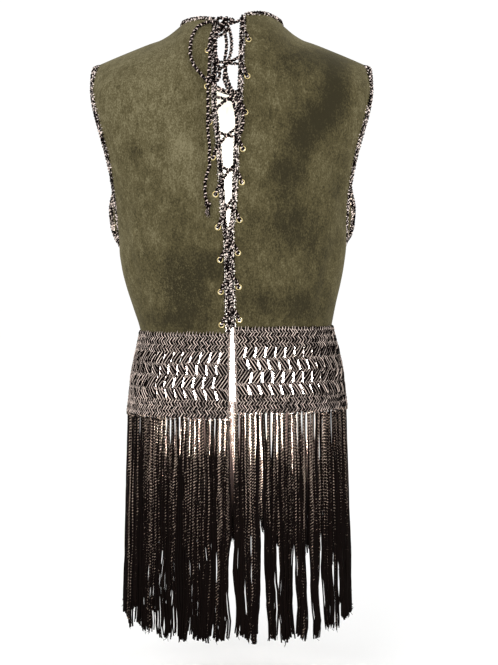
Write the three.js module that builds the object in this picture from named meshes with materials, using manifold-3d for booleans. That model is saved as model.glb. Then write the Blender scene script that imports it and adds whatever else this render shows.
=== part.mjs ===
// A sleeveless suede vest that laces up the back, with crochet edgings, a crochet openwork band at
// the hip and a long yarn fringe. It is hollow, in the shape it has when it is worn.
// Millimetres, +Z up, the laced back faces -Y, X = 0 is the middle of the shoulders, and the origin
// is on the shoulder line, where the wearer holds the vest up.
import * as THREE from "three";
import { mergeVertices } from "three/addons/utils/BufferGeometryUtils.js";
import Module from "manifold-3d";

const wasm = await Module();
wasm.setup();

// ---- driving dimensions ----
const seam = 0.3; // gap between pieces that are sewn to each other
const suedeWall = 1.8;
const bandWall = 3;
const waistZ = -412; // lower edge of the suede
const bandHeight = 108;
const fringeStrip = 5; // height of the knotted heading that carries the strands
const underarmZ = -299;
const neckHalfWidth = 68;
const rightLift = 7; // the right side sits this much higher at the waist and along the opening
const liftStartZ = -200; // the side seam starts to rise below this height
const trimWidth = 5.6;
const trimThick = 4.2;
const laceRadius = 1.75;
const eyelet = { count: 9, inset: 5.2, hole: 2.55, barrel: 3, flange: 4.2, lip: 0.6 };
const backSquareness = 0.8; // below 1 flattens a section across the back
const frontSquareness = 0.92;

// Sections of the suede, from the waist up. x is measured from the section's own middle, shift.
// edgeX, edgeY: where the panel ends, at the side seam up to the underarm and then at the armhole.
const backSections = [
  { z: waistZ, shift: 6, depth: 88, edgeX: 129, edgeY: 0 },
  { z: -385, shift: 4, depth: 90, edgeX: 136, edgeY: 0 },
  { z: -355, shift: 2.5, depth: 94, edgeX: 144, edgeY: 0 },
  { z: -326, shift: 1.5, depth: 97, edgeX: 150, edgeY: 0 },
  { z: underarmZ, shift: 1, depth: 99, edgeX: 153, edgeY: 0 },
  { z: -295, shift: 1, depth: 99, edgeX: 153, edgeY: 9 },
  { z: -286, shift: 1, depth: 100, edgeX: 153, edgeY: 17 },
  { z: -270, shift: 0.5, depth: 101, edgeX: 153, edgeY: 25 },
  { z: -246, shift: 0, depth: 102, edgeX: 154, edgeY: 33 },
  { z: -215, shift: 0, depth: 104, edgeX: 157, edgeY: 41 },
  { z: -180, shift: 0, depth: 104, edgeX: 163, edgeY: 46 },
  { z: -146, shift: 0, depth: 103, edgeX: 172, edgeY: 47 },
  { z: -116, shift: 0, depth: 101, edgeX: 180, edgeY: 42 },
  { z: -90, shift: 0, depth: 97, edgeX: 185, edgeY: 31 },
];
const frontSections = [
  { z: waistZ, shift: 6, depth: 92, edgeX: 129, edgeY: 0 },
  { z: -385, shift: 4, depth: 97, edgeX: 136, edgeY: 0 },
  { z: -355, shift: 2.5, depth: 106, edgeX: 144, edgeY: 0 },
  { z: -326, shift: 1.5, depth: 117, edgeX: 150, edgeY: 0 },
  { z: underarmZ, shift: 1, depth: 124, edgeX: 153, edgeY: 0 },
  { z: -295, shift: 1, depth: 125, edgeX: 155, edgeY: 9 },
  { z: -286, shift: 1, depth: 126, edgeX: 160, edgeY: 19 },
  { z: -270, shift: 0.5, depth: 127, edgeX: 165, edgeY: 29 },
  { z: -246, shift: 0, depth: 126, edgeX: 167, edgeY: 39 },
  { z: -215, shift: 0, depth: 122, edgeX: 162, edgeY: 49 },
  { z: -180, shift: 0, depth: 114, edgeX: 158, edgeY: 55 },
  { z: -150, shift: 0, depth: 105, edgeX: 161, edgeY: 55 },
  { z: -124, shift: 0, depth: 97, edgeX: 169, edgeY: 49 },
  { z: -104, shift: 0, depth: 92, edgeX: 177, edgeY: 40 },
];
const shoulderSeam = [
  { x: neckHalfWidth, z: 0 },
  { x: 82, z: -9 },
  { x: 98, z: -18 },
  { x: 135, z: -34 },
  { x: 181, z: -54 },
];
// The suede's two edges at the laced opening, from the waist up.
const openingEdges = [
  { z: waistZ, left: -6.9, right: 5.7 },
  { z: -350, left: -8.3, right: 4.3 },
  { z: -287, left: -9.3, right: 3.3 },
  { z: -274, left: -12.3, right: 5.9 },
  { z: -230, left: -14.9, right: 8.5 },
  { z: -178, left: -18.7, right: 10.2 },
  { z: -113, left: -25.2, right: 14.9 },
  { z: -45, left: -24.5, right: 17.6 },
  { z: 0, left: -24, right: 18.5 },
];
const eyeletHeights = {
  left: [-50.5, -97.8, -143.6, -188.7, -235.5, -277.4, -319.1, -360.1, -402.7],
  right: [-36, -84.5, -131.2, -177.8, -220.1, -268, -310.1, -353.7, -396.2],
};

// Sections of the crochet band. drop is measured down from the waist.
const bandSections = [
  { drop: 0, back: 88.5, front: 92.5, halfWidth: 129.5, shift: 6, slitLeft: 0.5, slitRight: 1.9 },
  { drop: 28, back: 97, front: 97, halfWidth: 136, shift: 6.5, slitLeft: 0.2, slitRight: 2.8 },
  { drop: 56, back: 106, front: 103, halfWidth: 142, shift: 6.8, slitLeft: -0.1, slitRight: 3.6 },
  { drop: 84, back: 112, front: 107, halfWidth: 145, shift: 7, slitLeft: -0.3, slitRight: 4.2 },
  { drop: 108, back: 117, front: 112, halfWidth: 148, shift: 7, slitLeft: -0.4, slitRight: 4.5 },
  { drop: 400, back: 123, front: 118, halfWidth: 155, shift: 8, slitLeft: -2, slitRight: 5 },
];
// Rows of slanted openings in the band, from the top. lean: how far the top edge of a hole is ahead
// of its lower edge. phase: the row's offset, in pitches.
const holeRows = [
  { top: 26, foot: 39, lean: 3.2, phase: 0 },
  { top: 42, foot: 54.5, lean: -1.8, phase: 0.5 },
  { top: 57.5, foot: 71, lean: 2, phase: 1 },
  { top: 74, foot: 86, lean: -3.6, phase: 0.5 },
];
const holesInHalfRow = 27;
const holeWidth = 4.8;
const slitMargin = 12; // solid crochet beside the slit
const frontMargin = 6;

const strandsPerHalf = 50;
const strandTaper = { shoulderDrop: 16, shoulderWidth: 0.62, tipWidth: 0.42, tipThick: 0.55 };
// How far down the strands reach, by how far round from the back they hang (0 back, 1 front).
const fringeEnds = [
  { round: 0, z: -806 },
  { round: 0.2, z: -805 },
  { round: 0.4, z: -795 },
  { round: 0.5, z: -786 },
  { round: 0.62, z: -750 },
  { round: 0.8, z: -728 },
  { round: 1, z: -720 },
];

// The lace: a knot at the top of the opening, and its free stretches. Points are x, y, z.
const knot = { middle: [-8, -71, -13], radii: [9.5, 6, 8] };
const endKnot = { middle: [-29.2, -106.6, -249.5], radii: [4.5, 3.6, 5.5] };
const laceStarts = {
  left: [[-7.5, -69, -18.5], [-7, -67.5, -23]],
  right: [[-3, -69.5, -18], [-1, -69, -22]],
};
const freeCords = {
  lace_loop_left: [
    [-15, -71.5, -12.5],
    [-19.5, -72.5, -11.5],
    [-24, -73, -10.5],
    [-33.4, -67, -10.5],
    [-43.7, -69, -16.6],
    [-49.9, -75.5, -28.8],
    [-52.2, -83, -42.2],
    [-51.8, -90, -56.5],
    [-47.7, -95.5, -69],
    [-41.2, -99.5, -78.5],
    [-32.1, -104, -89.3],
    [-23, -106.5, -94.9],
    [-15.6, -107, -89.3],
    [-14.3, -106, -80],
    [-17, -104, -67],
    [-19.5, -100.5, -55],
    [-20.5, -95, -41],
    [-17.8, -89.5, -27.5],
    [-13, -79.5, -16.5],
    [-11.5, -76, -15],
  ],
  lace_loop_gap: [
    [-8, -74, -19],
    [-8.5, -77, -22.5],
    [-6.5, -87, -33],
    [-5.5, -95, -43],
    [-6, -101, -54],
    [-7.5, -105, -64],
    [-7, -107.5, -75],
    [-5, -109.5, -87],
    [-1, -111.5, -99],
    [4.5, -113, -109.5],
    [10.5, -114, -120],
    [14.5, -114.5, -131],
    [15.5, -115, -144],
    [14, -115, -155],
    [10.8, -115, -160.5],
    [8, -115, -154],
    [7.5, -115, -141],
    [5, -114.5, -127],
    [1, -114, -114.5],
    [-4, -113.5, -102.5],
    [-8.5, -113, -90],
    [-6, -112.5, -75],
    [-2, -108.5, -63.5],
    [0.5, -104, -53.5],
    [1, -98, -42],
    [-0.2, -89, -31],
    [-2.5, -78.5, -20.5],
    [-4.5, -75, -17],
  ],
  lace_tail: [
    [-12.2, -72, -18.5],
    [-13.8, -75, -23],
    [-18, -81, -25.3],
    [-23.3, -86, -27],
    [-26, -92, -35],
    [-27, -99, -48],
    [-26.5, -103, -61.5],
    [-27.5, -108, -77.5],
    [-28.3, -112, -93],
    [-28.8, -112, -112],
    [-28.8, -112, -130],
    [-29.2, -112.3, -148],
    [-28.2, -112.5, -163],
    [-26.8, -112.5, -176],
    [-27.3, -112.5, -189],
    [-27, -112, -200.5],
    [-30, -110.5, -209.5],
    [-32.3, -109, -219.5],
    [-33, -107.5, -231],
    [-31.5, -106.6, -242.5],
    [-30.2, -106.6, -246.5],
  ],
};

const panelColumns = { back: { neck: 4, shoulder: 6 }, front: { neck: 3, shoulder: 5 } };
const upperRows = 4; // rows between the last section and the neckline or shoulder seam
const neckShare = 0.3; // share of a panel's width that ends at the neckline
const frontNeckDrop = 80;
const neckRim = { backY: 62, backZ: -7, frontY: 84 };

// ---- materials ----
const suede = new THREE.MeshStandardMaterial({ color: 0x625b3f, roughness: 0.95, metalness: 0 });
const crochet = new THREE.MeshStandardMaterial({ color: 0x54463f, roughness: 0.9, metalness: 0 });
const yarn = new THREE.MeshStandardMaterial({ color: 0x221913, roughness: 0.85, metalness: 0 });
const cord = new THREE.MeshStandardMaterial({ color: 0x4a3f38, roughness: 0.85, metalness: 0 });
const brass = new THREE.MeshStandardMaterial({ color: 0xc9b27a, roughness: 0.3, metalness: 1 });

const vest = new THREE.Group();

function addPiece(name, geometry, material) {
  const mesh = new THREE.Mesh(geometry, material.clone());
  mesh.name = name;
  vest.add(mesh);
}

// ---- small helpers ----
const mix = (a, b, t) => a + (b - a) * t;

// A table's row at a value of one of its columns, between its own rows by proportion.
function rowAt(table, column, value) {
  const rising = table[table.length - 1][column] > table[0][column];
  const past = table.findIndex((row) => (rising ? row[column] >= value : row[column] <= value));
  if (past === 0) return table[0];
  if (past < 0) return table[table.length - 1];
  const [a, b] = [table[past - 1], table[past]];
  const t = (value - a[column]) / (b[column] - a[column]);
  return Object.fromEntries(Object.keys(a).map((key) => [key, mix(a[key], b[key], t)]));
}

// A row at a fractional index.
function rowBetween(table, index) {
  const low = Math.min(Math.floor(index), table.length - 2);
  const [a, b] = [table[low], table[low + 1]];
  return Object.fromEntries(Object.keys(a).map((key) => [key, mix(a[key], b[key], index - low)]));
}

// A repeatable unevenness between -1 and 1.
const uneven = (i, k) => {
  const s = Math.sin(i * 12.9898 + k * 78.233) * 43758.5453;
  return 2 * (s - Math.floor(s)) - 1;
};

function solidOf(geometry) {
  const bare = new THREE.BufferGeometry();
  bare.setAttribute("position", geometry.getAttribute("position").clone());
  if (geometry.index) bare.setIndex(geometry.index.clone());
  const merged = mergeVertices(bare, 1e-3);
  return new wasm.Manifold(
    new wasm.Mesh({
      numProp: 3,
      vertProperties: new Float32Array(merged.getAttribute("position").array),
      triVerts: new Uint32Array(merged.index.array),
    }),
  );
}

function geometryOf(solid) {
  const { vertProperties, triVerts } = solid.getMesh();
  const geometry = new THREE.BufferGeometry();
  geometry.setAttribute("position", new THREE.BufferAttribute(Float32Array.from(vertProperties), 3));
  geometry.setIndex(new THREE.BufferAttribute(Uint32Array.from(triVerts), 1));
  return geometry;
}

function geometryFrom(points, triangles) {
  const geometry = new THREE.BufferGeometry().setFromPoints(points);
  const a = new THREE.Vector3();
  const b = new THREE.Vector3();
  let volume = 0;
  for (const [i, j, k] of triangles) {
    volume += a.copy(points[i]).dot(b.copy(points[j]).cross(points[k]));
  }
  const outward = volume > 0 ? triangles : triangles.map(([i, j, k]) => [i, k, j]);
  geometry.setIndex(outward.flat());
  return geometry;
}

// ---- a cloth wall over a grid of points ----
// Normals of a grid of surface points. flattenOf(row, column) may name an axis in whose plane the
// normal stays, so that two panels that meet at a seam don't cross.
function gridNormals(grid, flattenOf) {
  const rows = grid.length;
  const columns = grid[0].length;
  return grid.map((row, j) =>
    row.map((point, i) => {
      const across = new THREE.Vector3().subVectors(
        grid[j][Math.min(i + 1, columns - 1)],
        grid[j][Math.max(i - 1, 0)],
      );
      const up = new THREE.Vector3().subVectors(
        grid[Math.min(j + 1, rows - 1)][i],
        grid[Math.max(j - 1, 0)][i],
      );
      const normal = across.cross(up);
      for (const axis of flattenOf(j, i)) normal[axis] = 0;
      return normal.normalize();
    }),
  );
}

// A wall between the grid and the same grid moved in by its thickness. holes(row, column) says
// which cells are left open.
function wallGeometry(grid, normals, thickness, holes = () => false) {
  const rows = grid.length;
  const columns = grid[0].length;
  const outer = grid.flat().map((point) => point.clone());
  const inner = grid.flatMap((row, j) =>
    row.map((point, i) => point.clone().addScaledVector(normals[j][i], -thickness)),
  );
  const offset = outer.length;
  const at = (j, i) => j * columns + i;
  const solidCell = (j, i) => j >= 0 && i >= 0 && j < rows - 1 && i < columns - 1 && !holes(j, i);
  const triangles = [];
  const quad = (a, b, c, d) => triangles.push([a, b, c], [a, c, d]);
  for (let j = 0; j < rows - 1; j++) {
    for (let i = 0; i < columns - 1; i++) {
      if (!solidCell(j, i)) continue;
      const [a, b, c, d] = [at(j, i), at(j, i + 1), at(j + 1, i + 1), at(j + 1, i)];
      quad(a, b, c, d);
      quad(offset + d, offset + c, offset + b, offset + a);
      if (!solidCell(j - 1, i)) quad(b, a, offset + a, offset + b);
      if (!solidCell(j + 1, i)) quad(d, c, offset + c, offset + d);
      if (!solidCell(j, i - 1)) quad(a, d, offset + d, offset + a);
      if (!solidCell(j, i + 1)) quad(c, b, offset + b, offset + c);
    }
  }
  return mergeVertices(geometryFrom([...outer, ...inner], triangles), 1e-4);
}

// The rise from the left side to the right along the front. The back's right side rises as a whole.
function sideLift(point, shift, halfWidth) {
  const across = Math.min(Math.max((point.x - shift) / halfWidth, -1), 1);
  if (point.y > 0) return (rightLift * (1 + across)) / 2;
  return 0;
}

// ---- suede panels ----
// A panel half runs from its middle edge (u = 0) to the side seam and armhole (u = 1), and from the
// waist (row 0) up its sections, then over the shoulder to the neckline and shoulder seam.
const panelHalf = {
  back: { facing: -1, sections: backSections, squareness: backSquareness },
  front: { facing: 1, sections: frontSections, squareness: frontSquareness },
};

function sectionPoint(half, side, section, u, middleX) {
  const { facing, squareness } = panelHalf[half];
  const endAngle = Math.acos((section.edgeY / section.depth) ** (1 / squareness));
  const stretch = section.edgeX / Math.sin(endAngle);
  const startAngle = Math.asin((side * (middleX - section.shift)) / stretch);
  const angle = mix(startAngle, endAngle, u);
  const cosine = Math.max(Math.cos(angle), 0);
  return new THREE.Vector3(
    section.shift + side * stretch * Math.sin(angle),
    facing * section.depth * cosine ** squareness,
    section.z,
  );
}

const openingX = (side, z) => rowAt(openingEdges, "z", z)[side < 0 ? "left" : "right"];

function topPoint(half, side, u, middleX) {
  if (u > neckShare) {
    const x = mix(neckHalfWidth, shoulderSeam.at(-1).x, (u - neckShare) / (1 - neckShare));
    const y = (panelHalf[half].facing * seam) / 2;
    return new THREE.Vector3(side * x, y, rowAt(shoulderSeam, "x", x).z);
  }
  const start = Math.asin((side * middleX) / neckHalfWidth);
  const angle = mix(start, Math.PI / 2, u / neckShare);
  const [x, cosine] = [side * neckHalfWidth * Math.sin(angle), Math.cos(angle)];
  if (half === "back") {
    return new THREE.Vector3(x, -neckRim.backY * cosine - seam / 2, neckRim.backZ * cosine);
  }
  return new THREE.Vector3(x, neckRim.frontY * cosine ** 0.8 + seam / 2, -frontNeckDrop * cosine ** 1.3);
}

function panelPoint(half, side, u, row) {
  const { facing, sections } = panelHalf[half];
  const last = sections.length - 1;
  const middleAt = (z) => (half === "back" ? openingX(side, z) : 0);
  const section = row < last ? rowBetween(sections, row) : sections[last];
  const sectionMiddle = half === "back" ? middleAt(section.z) : section.shift;
  const point = sectionPoint(half, side, section, u, sectionMiddle);
  const s = Math.max(0, (row - last) / upperRows);
  if (row > last) {
    const top = topPoint(half, side, u, half === "back" ? middleAt(0) : 0);
    const bend = point.clone().lerp(top, 0.6);
    bend.y = mix(point.y, top.y, 0.14);
    bend.z = mix(point.z, top.z, 0.68);
    const curve = new THREE.QuadraticBezierCurve3(point, bend, top);
    curve.getPoint(s, point);
  }
  if (half === "front") {
    // Fullness over the bust, darted in below.
    const across = (Math.abs(point.x) - 78) / 46;
    const up = (point.z + 262) / 58;
    point.y += facing * 9 * Math.exp(-across * across - up * up) * (1 - u ** 8);
  }
  const low = Math.min(Math.max((section.z - liftStartZ) / (waistZ - liftStartZ), 0), 1);
  if (half === "front") point.z += low * sideLift(point, section.shift, section.edgeX);
  if (half === "back" && side > 0) {
    const nearOpening = mix((1 - u) ** 2, Math.max(0, 1 - u / neckShare), s);
    point.z += rightLift * mix(nearOpening, 1, low);
  }
  if (section.edgeY === 0 && row < last && u === 1) point.y = facing * (seam / 2);
  return point;
}

function columnShares({ neck, shoulder }) {
  return [
    ...Array.from({ length: neck }, (_, i) => (neckShare * i) / neck),
    ...Array.from({ length: shoulder + 1 }, (_, i) => mix(neckShare, 1, i / shoulder)),
  ];
}
const underarmRow = backSections.findIndex((section) => section.z === underarmZ);
const topRow = backSections.length - 1 + upperRows;

function flattenAt(row, u) {
  const axes = [];
  if (row === 0) axes.push("z");
  if ((u === 1 && row <= underarmRow) || (row === topRow && u >= neckShare)) axes.push("y");
  return axes;
}

function panelGrid(half, sides) {
  // sides: the halves from one edge to the other, so that columns run to the right seen from outside
  const columns = sides.flatMap(({ side, inward }, k) => {
    const shares = columnShares(panelColumns[half]);
    if (inward) shares.reverse();
    return shares.slice(k > 0 ? 1 : 0).map((u) => ({ side, u }));
  });
  const grid = Array.from({ length: topRow + 1 }, (_, row) =>
    columns.map(({ side, u }) => panelPoint(half, side, u, row)),
  );
  const normals = gridNormals(grid, (row, i) => flattenAt(row, columns[i].u));
  return { grid, normals, columns };
}

const panels = {
  back_left: panelGrid("back", [{ side: -1, inward: true }]),
  back_right: panelGrid("back", [{ side: 1, inward: false }]),
  front: panelGrid("front", [
    { side: 1, inward: true },
    { side: -1, inward: false },
  ]),
};

// The place on a back panel at a distance from the opening's edge and a height, with its normal.
function backPlace(side, inset, z) {
  const { sections } = panelHalf.back;
  let [u, row] = [0.1, sections.length / 2];
  for (let pass = 0; pass < 40; pass++) {
    const point = panelPoint("back", side, u, row);
    const edge = panelPoint("back", side, 0, row);
    row = Math.min(Math.max(row + (z - point.z) / 25, 0), topRow);
    u = Math.min(Math.max(u + (inset - Math.abs(point.x - edge.x)) / 170, 0), 1);
  }
  const point = panelPoint("back", side, u, row);
  const across = panelPoint("back", side, u + 0.05, row).sub(point);
  const up = panelPoint("back", side, u, Math.min(row + 0.4, topRow)).sub(
    panelPoint("back", side, u, Math.max(row - 0.4, 0)),
  );
  return { point, normal: across.cross(up).multiplyScalar(side).normalize() };
}

// ---- eyelets ----
const eyeletPlaces = [];
for (const [name, side] of [["left", -1], ["right", 1]]) {
  for (let k = 0; k < eyelet.count; k++) {
    const z = eyeletHeights[name][k];
    eyeletPlaces.push({ name: `eyelet_${name}_${k + 1}`, side, k, ...backPlace(side, eyelet.inset, z) });
  }
}

const towards = (normal) => new THREE.Quaternion().setFromUnitVectors(new THREE.Vector3(0, 1, 0), normal);

function eyeletGeometry({ point, normal }) {
  const half = suedeWall / 2;
  const flangeFoot = half + seam;
  const flangeTop = flangeFoot + eyelet.lip;
  const profile = [
    [eyelet.hole, -half - 0.8],
    [eyelet.barrel, -half - 0.8],
    [eyelet.barrel, flangeFoot],
    [eyelet.flange, flangeFoot],
    [eyelet.hole, flangeTop],
    [eyelet.hole, -half - 0.8],
  ].map(([r, y]) => new THREE.Vector2(r, y));
  const geometry = new THREE.LatheGeometry(profile, 8);
  geometry.applyQuaternion(towards(normal));
  const middle = point.clone().addScaledVector(normal, -half);
  geometry.translate(...middle.toArray());
  return geometry;
}

function punchGeometry({ point, normal }) {
  const geometry = new THREE.CylinderGeometry(eyelet.barrel + seam, eyelet.barrel + seam, 8, 8);
  geometry.applyQuaternion(towards(normal));
  geometry.translate(...point.toArray());
  return geometry;
}

for (const [name, side] of [["back_left", -1], ["back_right", 1]]) {
  const { grid, normals } = panels[name];
  let solid = solidOf(wallGeometry(grid, normals, suedeWall));
  for (const place of eyeletPlaces.filter((item) => item.side === side)) {
    solid = solid.subtract(solidOf(punchGeometry(place)));
  }
  addPiece(name, geometryOf(solid), suede);
}
addPiece("front", wallGeometry(panels.front.grid, panels.front.normals, suedeWall), suede);
for (const place of eyeletPlaces) addPiece(place.name, eyeletGeometry(place), brass);

// ---- crochet edgings ----
// A flattened six-sided cord laid along a panel's edge. Each station has the edge point, the wall's
// normal and the direction away from the panel.
function edgingGeometry(stations, closed) {
  const section = [
    [-1, 0],
    [-0.6, 1],
    [0.6, 1],
    [1, 0],
    [0.6, -1],
    [-0.6, -1],
  ];
  const points = [];
  for (const { point, normal, away } of stations) {
    for (const [a, b] of section) {
      points.push(
        point
          .clone()
          .addScaledVector(normal, -suedeWall / 2 + (b * trimThick) / 2)
          .addScaledVector(away, seam + (trimWidth / 2) * (1 + a)),
      );
    }
  }
  return tubeGeometry(points, section.length, stations.length, closed);
}

// A tube through rings of points, with flat ends unless it closes on itself.
function tubeGeometry(points, sides, rings, closed) {
  const triangles = [];
  for (let r = 0; r < (closed ? rings : rings - 1); r++) {
    const next = (r + 1) % rings;
    for (let s = 0; s < sides; s++) {
      const t = (s + 1) % sides;
      const [a, b, c, d] = [r * sides + s, r * sides + t, next * sides + t, next * sides + s];
      triangles.push([a, b, c], [a, c, d]);
    }
  }
  if (!closed) {
    const end = (rings - 1) * sides;
    for (let s = 1; s < sides - 1; s++) {
      triangles.push([0, s + 1, s], [end, end + s, end + s + 1]);
    }
  }
  return geometryFrom(points, triangles);
}

function stationsAlong(path, awayHint) {
  return path.map(({ point, normal }, i) => {
    const before = path[Math.max(i - 1, 0)].point;
    const after = path[Math.min(i + 1, path.length - 1)].point;
    const along = new THREE.Vector3().subVectors(after, before);
    const away = along.cross(normal).normalize();
    if (away.dot(awayHint(point)) < 0) away.negate();
    return { point, normal, away };
  });
}

const edgePoint = (name, row, column) => ({
  point: panels[name].grid[row][column],
  normal: panels[name].normals[row][column],
});
const lastColumn = (name) => panels[name].grid[0].length - 1;
function range(from, to) {
  const step = Math.sign(to - from);
  return Array.from({ length: Math.abs(to - from) + 1 }, (_, i) => from + step * i);
}

// Armholes: up the back panel's edge from the underarm and down the front panel's.
for (const [name, back, backColumn, frontColumn] of [
  ["armhole_trim_left", "back_left", 0, lastColumn("front")],
  ["armhole_trim_right", "back_right", lastColumn("back_right"), 0],
]) {
  const up = range(underarmRow, topRow).map((row) => edgePoint(back, row, backColumn));
  const down = range(topRow - 1, underarmRow + 1).map((row) => edgePoint("front", row, frontColumn));
  const ring = [...up, ...down];
  const centre = ring.reduce((sum, { point }) => sum.add(point), new THREE.Vector3()).divideScalar(ring.length);
  const stations = ring.map(({ point, normal }, i) => {
    const before = ring[(i + ring.length - 1) % ring.length].point;
    const after = ring[(i + 1) % ring.length].point;
    const away = new THREE.Vector3().subVectors(after, before).cross(normal).normalize();
    if (away.dot(new THREE.Vector3().subVectors(centre, point)) < 0) away.negate();
    return { point, normal, away };
  });
  addPiece(name, edgingGeometry(stations, true), crochet);
}

// Neck: along the left back's neckline, round the front and along the right back's.
const neckColumns = panelColumns.back.neck;
const shoulderColumns = panelColumns.front.shoulder;
const neckPath = [
  ...range(lastColumn("back_left"), lastColumn("back_left") - neckColumns).map((i) =>
    edgePoint("back_left", topRow, i),
  ),
  ...range(lastColumn("front") - shoulderColumns - 1, shoulderColumns + 1).map((i) =>
    edgePoint("front", topRow, i),
  ),
  ...range(neckColumns, 0).map((i) => edgePoint("back_right", topRow, i)),
];
const neckMiddle = new THREE.Vector3(0, 8, 60);
const towardsNeck = (point) => new THREE.Vector3().subVectors(neckMiddle, point);
addPiece("neck_trim", edgingGeometry(stationsAlong(neckPath, towardsNeck), false), crochet);

// ---- lace ----
const findEyelet = (side, k) => eyeletPlaces.find((item) => item.side === side && item.k === k);
const offWall = ({ point, normal }, height) => point.clone().addScaledVector(normal, height - suedeWall / 2);
const laceOver = trimThick / 2 + laceRadius + 0.5; // from the wall's middle to the lace over an edging
const laceCrossing = 2.8; // half the distance between the two strands where they cross
const laceUnder = laceOver + 0.5; // and under it, on the inside
const laceRise = 9; // the lace leaves the edging this far above its eyelet

// The middle of the edging at a height of the opening, a distance off the wall's middle.
function overEdging(side, z, height) {
  const place = backPlace(side, 0, z);
  const point = offWall(place, height);
  point.x -= side * (seam + trimWidth / 2);
  return point;
}

function gapMiddle(z) {
  const left = backPlace(-1, 0, z);
  const right = backPlace(1, 0, z);
  return offWall(left, 0).lerp(offWall(right, 0), 0.5);
}

// One strand of the lacing, from the knot down through alternate sides to the last eyelet.
function lacingRoute(firstSide, start) {
  const route = start.map((point) => new THREE.Vector3(...point));
  let side = firstSide;
  for (let k = 0; k < eyelet.count; k++) {
    const place = findEyelet(side, k);
    const inward = new THREE.Vector3(-side, 0, 0);
    const bend = (height, reach) => offWall(place, height).addScaledVector(inward, reach);
    route.push(overEdging(side, place.point.z + laceRise, laceOver));
    route.push(bend(laceOver, 2.6).setZ(place.point.z + 2.2), bend(3.3, 0.6), bend(-3.3, 0.1));
    if (k === eyelet.count - 1) {
      const meetZ = (findEyelet(1, k).point.z + findEyelet(-1, k).point.z) / 2;
      const end = gapMiddle(meetZ);
      end.y += laceUnder;
      end.x += 2 * side * seam;
      route.push(overEdging(side, meetZ, -laceUnder), end);
      break;
    }
    const next = findEyelet(-side, k + 1);
    const crossZ = (place.point.z + next.point.z) / 2;
    const crossing = gapMiddle(crossZ);
    crossing.y += firstSide * (k % 2 ? -1 : 1) * laceCrossing;
    route.push(overEdging(side, mix(place.point.z, crossZ, 0.6), -laceUnder), crossing);
    side = -side;
  }
  return route;
}

// A cord with a ring of its section at each point of a route.
function cordGeometry(route, radius, sides) {
  const rings = [];
  let aside = new THREE.Vector3(0, 0, 1);
  for (let i = 0; i < route.length; i++) {
    const before = route[Math.max(i - 1, 0)];
    const after = route[Math.min(i + 1, route.length - 1)];
    const along = new THREE.Vector3().subVectors(after, before).normalize();
    aside = aside.clone().addScaledVector(along, -aside.dot(along)).normalize();
    const across = new THREE.Vector3().crossVectors(along, aside);
    for (let s = 0; s < sides; s++) {
      const angle = (2 * Math.PI * s) / sides;
      const reach = aside.clone().multiplyScalar(Math.cos(angle)).addScaledVector(across, Math.sin(angle));
      rings.push(route[i].clone().addScaledVector(reach, radius));
    }
  }
  return tubeGeometry(rings, sides, route.length, false);
}

const lacing = {
  lace_left: lacingRoute(-1, laceStarts.left),
  lace_right: lacingRoute(1, laceStarts.right),
};
function knotGeometry({ middle, radii }, room = 0) {
  const geometry = new THREE.SphereGeometry(1, 7, 5);
  geometry.scale(...radii.map((radius) => radius + room));
  geometry.translate(...middle);
  return geometry;
}
addPiece("lace_knot", knotGeometry(knot), cord);
addPiece("lace_end_knot", knotGeometry(endKnot), cord);

// Each stretch of the lace ends just outside the knot it comes out of.
const knotRooms = [knot, endKnot].map((item) => solidOf(knotGeometry(item, seam)));
function addLace(name, geometry) {
  let solid = solidOf(geometry);
  for (const room of knotRooms) solid = solid.subtract(room);
  addPiece(name, geometryOf(solid), cord);
}
for (const [name, route] of Object.entries(lacing)) addLace(name, cordGeometry(route, laceRadius, 5));

const laceSection = new THREE.Shape();
laceSection.setFromPoints(
  Array.from({ length: 8 }, (_, i) => {
    const angle = (2 * Math.PI * i) / 8;
    return new THREE.Vector2(laceRadius * Math.cos(angle), laceRadius * Math.sin(angle));
  }),
);
for (const [name, points] of Object.entries(freeCords)) {
  const curve = new THREE.CatmullRomCurve3(points.map((point) => new THREE.Vector3(...point)));
  const steps = Math.round(curve.getLength() / (6 * laceRadius));
  addLace(name, new THREE.ExtrudeGeometry(laceSection, { steps, extrudePath: curve, bevelEnabled: false }));
}

// Opening: up the two edges of the laced opening, stopping just under the neck edging.
// The lace presses into them where they meet, so its path is cut out of them with a little room.
for (const [name, panel, column, side] of [
  ["opening_trim_left", "back_left", lastColumn("back_left"), -1],
  ["opening_trim_right", "back_right", 0, 1],
]) {
  const path = range(0, topRow).map((row) => edgePoint(panel, row, column));
  const stations = stationsAlong(path, () => new THREE.Vector3(-side, 0, 0));
  let solid = solidOf(edgingGeometry(stations, false));
  for (const route of Object.values(lacing)) {
    solid = solid.subtract(solidOf(cordGeometry(route, laceRadius + seam, 5)));
  }
  addPiece(name, geometryOf(solid), crochet);
}

// ---- crochet band ----
// A point of the band's outer face: share runs from the slit (0) round one side to the front (1).
const sweepSteps = 60;
function bandSection(side, drop) {
  const row = rowAt(bandSections, "drop", drop);
  const slit = side < 0 ? row.slitLeft : row.slitRight;
  const start = Math.asin((side * (slit - row.shift)) / row.halfWidth);
  const points = Array.from({ length: sweepSteps + 1 }, (_, i) => {
    const angle = mix(start, Math.PI, i / sweepSteps);
    const cosine = Math.cos(angle);
    const y = cosine > 0 ? -row.back * cosine ** backSquareness : row.front * (-cosine) ** frontSquareness;
    const point = new THREE.Vector3(row.shift + side * row.halfWidth * Math.sin(angle), y, 0);
    const lift = y < 0 && side > 0 ? rightLift : sideLift(point, row.shift, row.halfWidth);
    return point.setZ(waistZ - seam - drop + lift);
  });
  const lengths = [0];
  for (let i = 1; i < points.length; i++) lengths.push(lengths[i - 1] + points[i].distanceTo(points[i - 1]));
  return { points, lengths, total: lengths.at(-1) };
}

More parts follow.
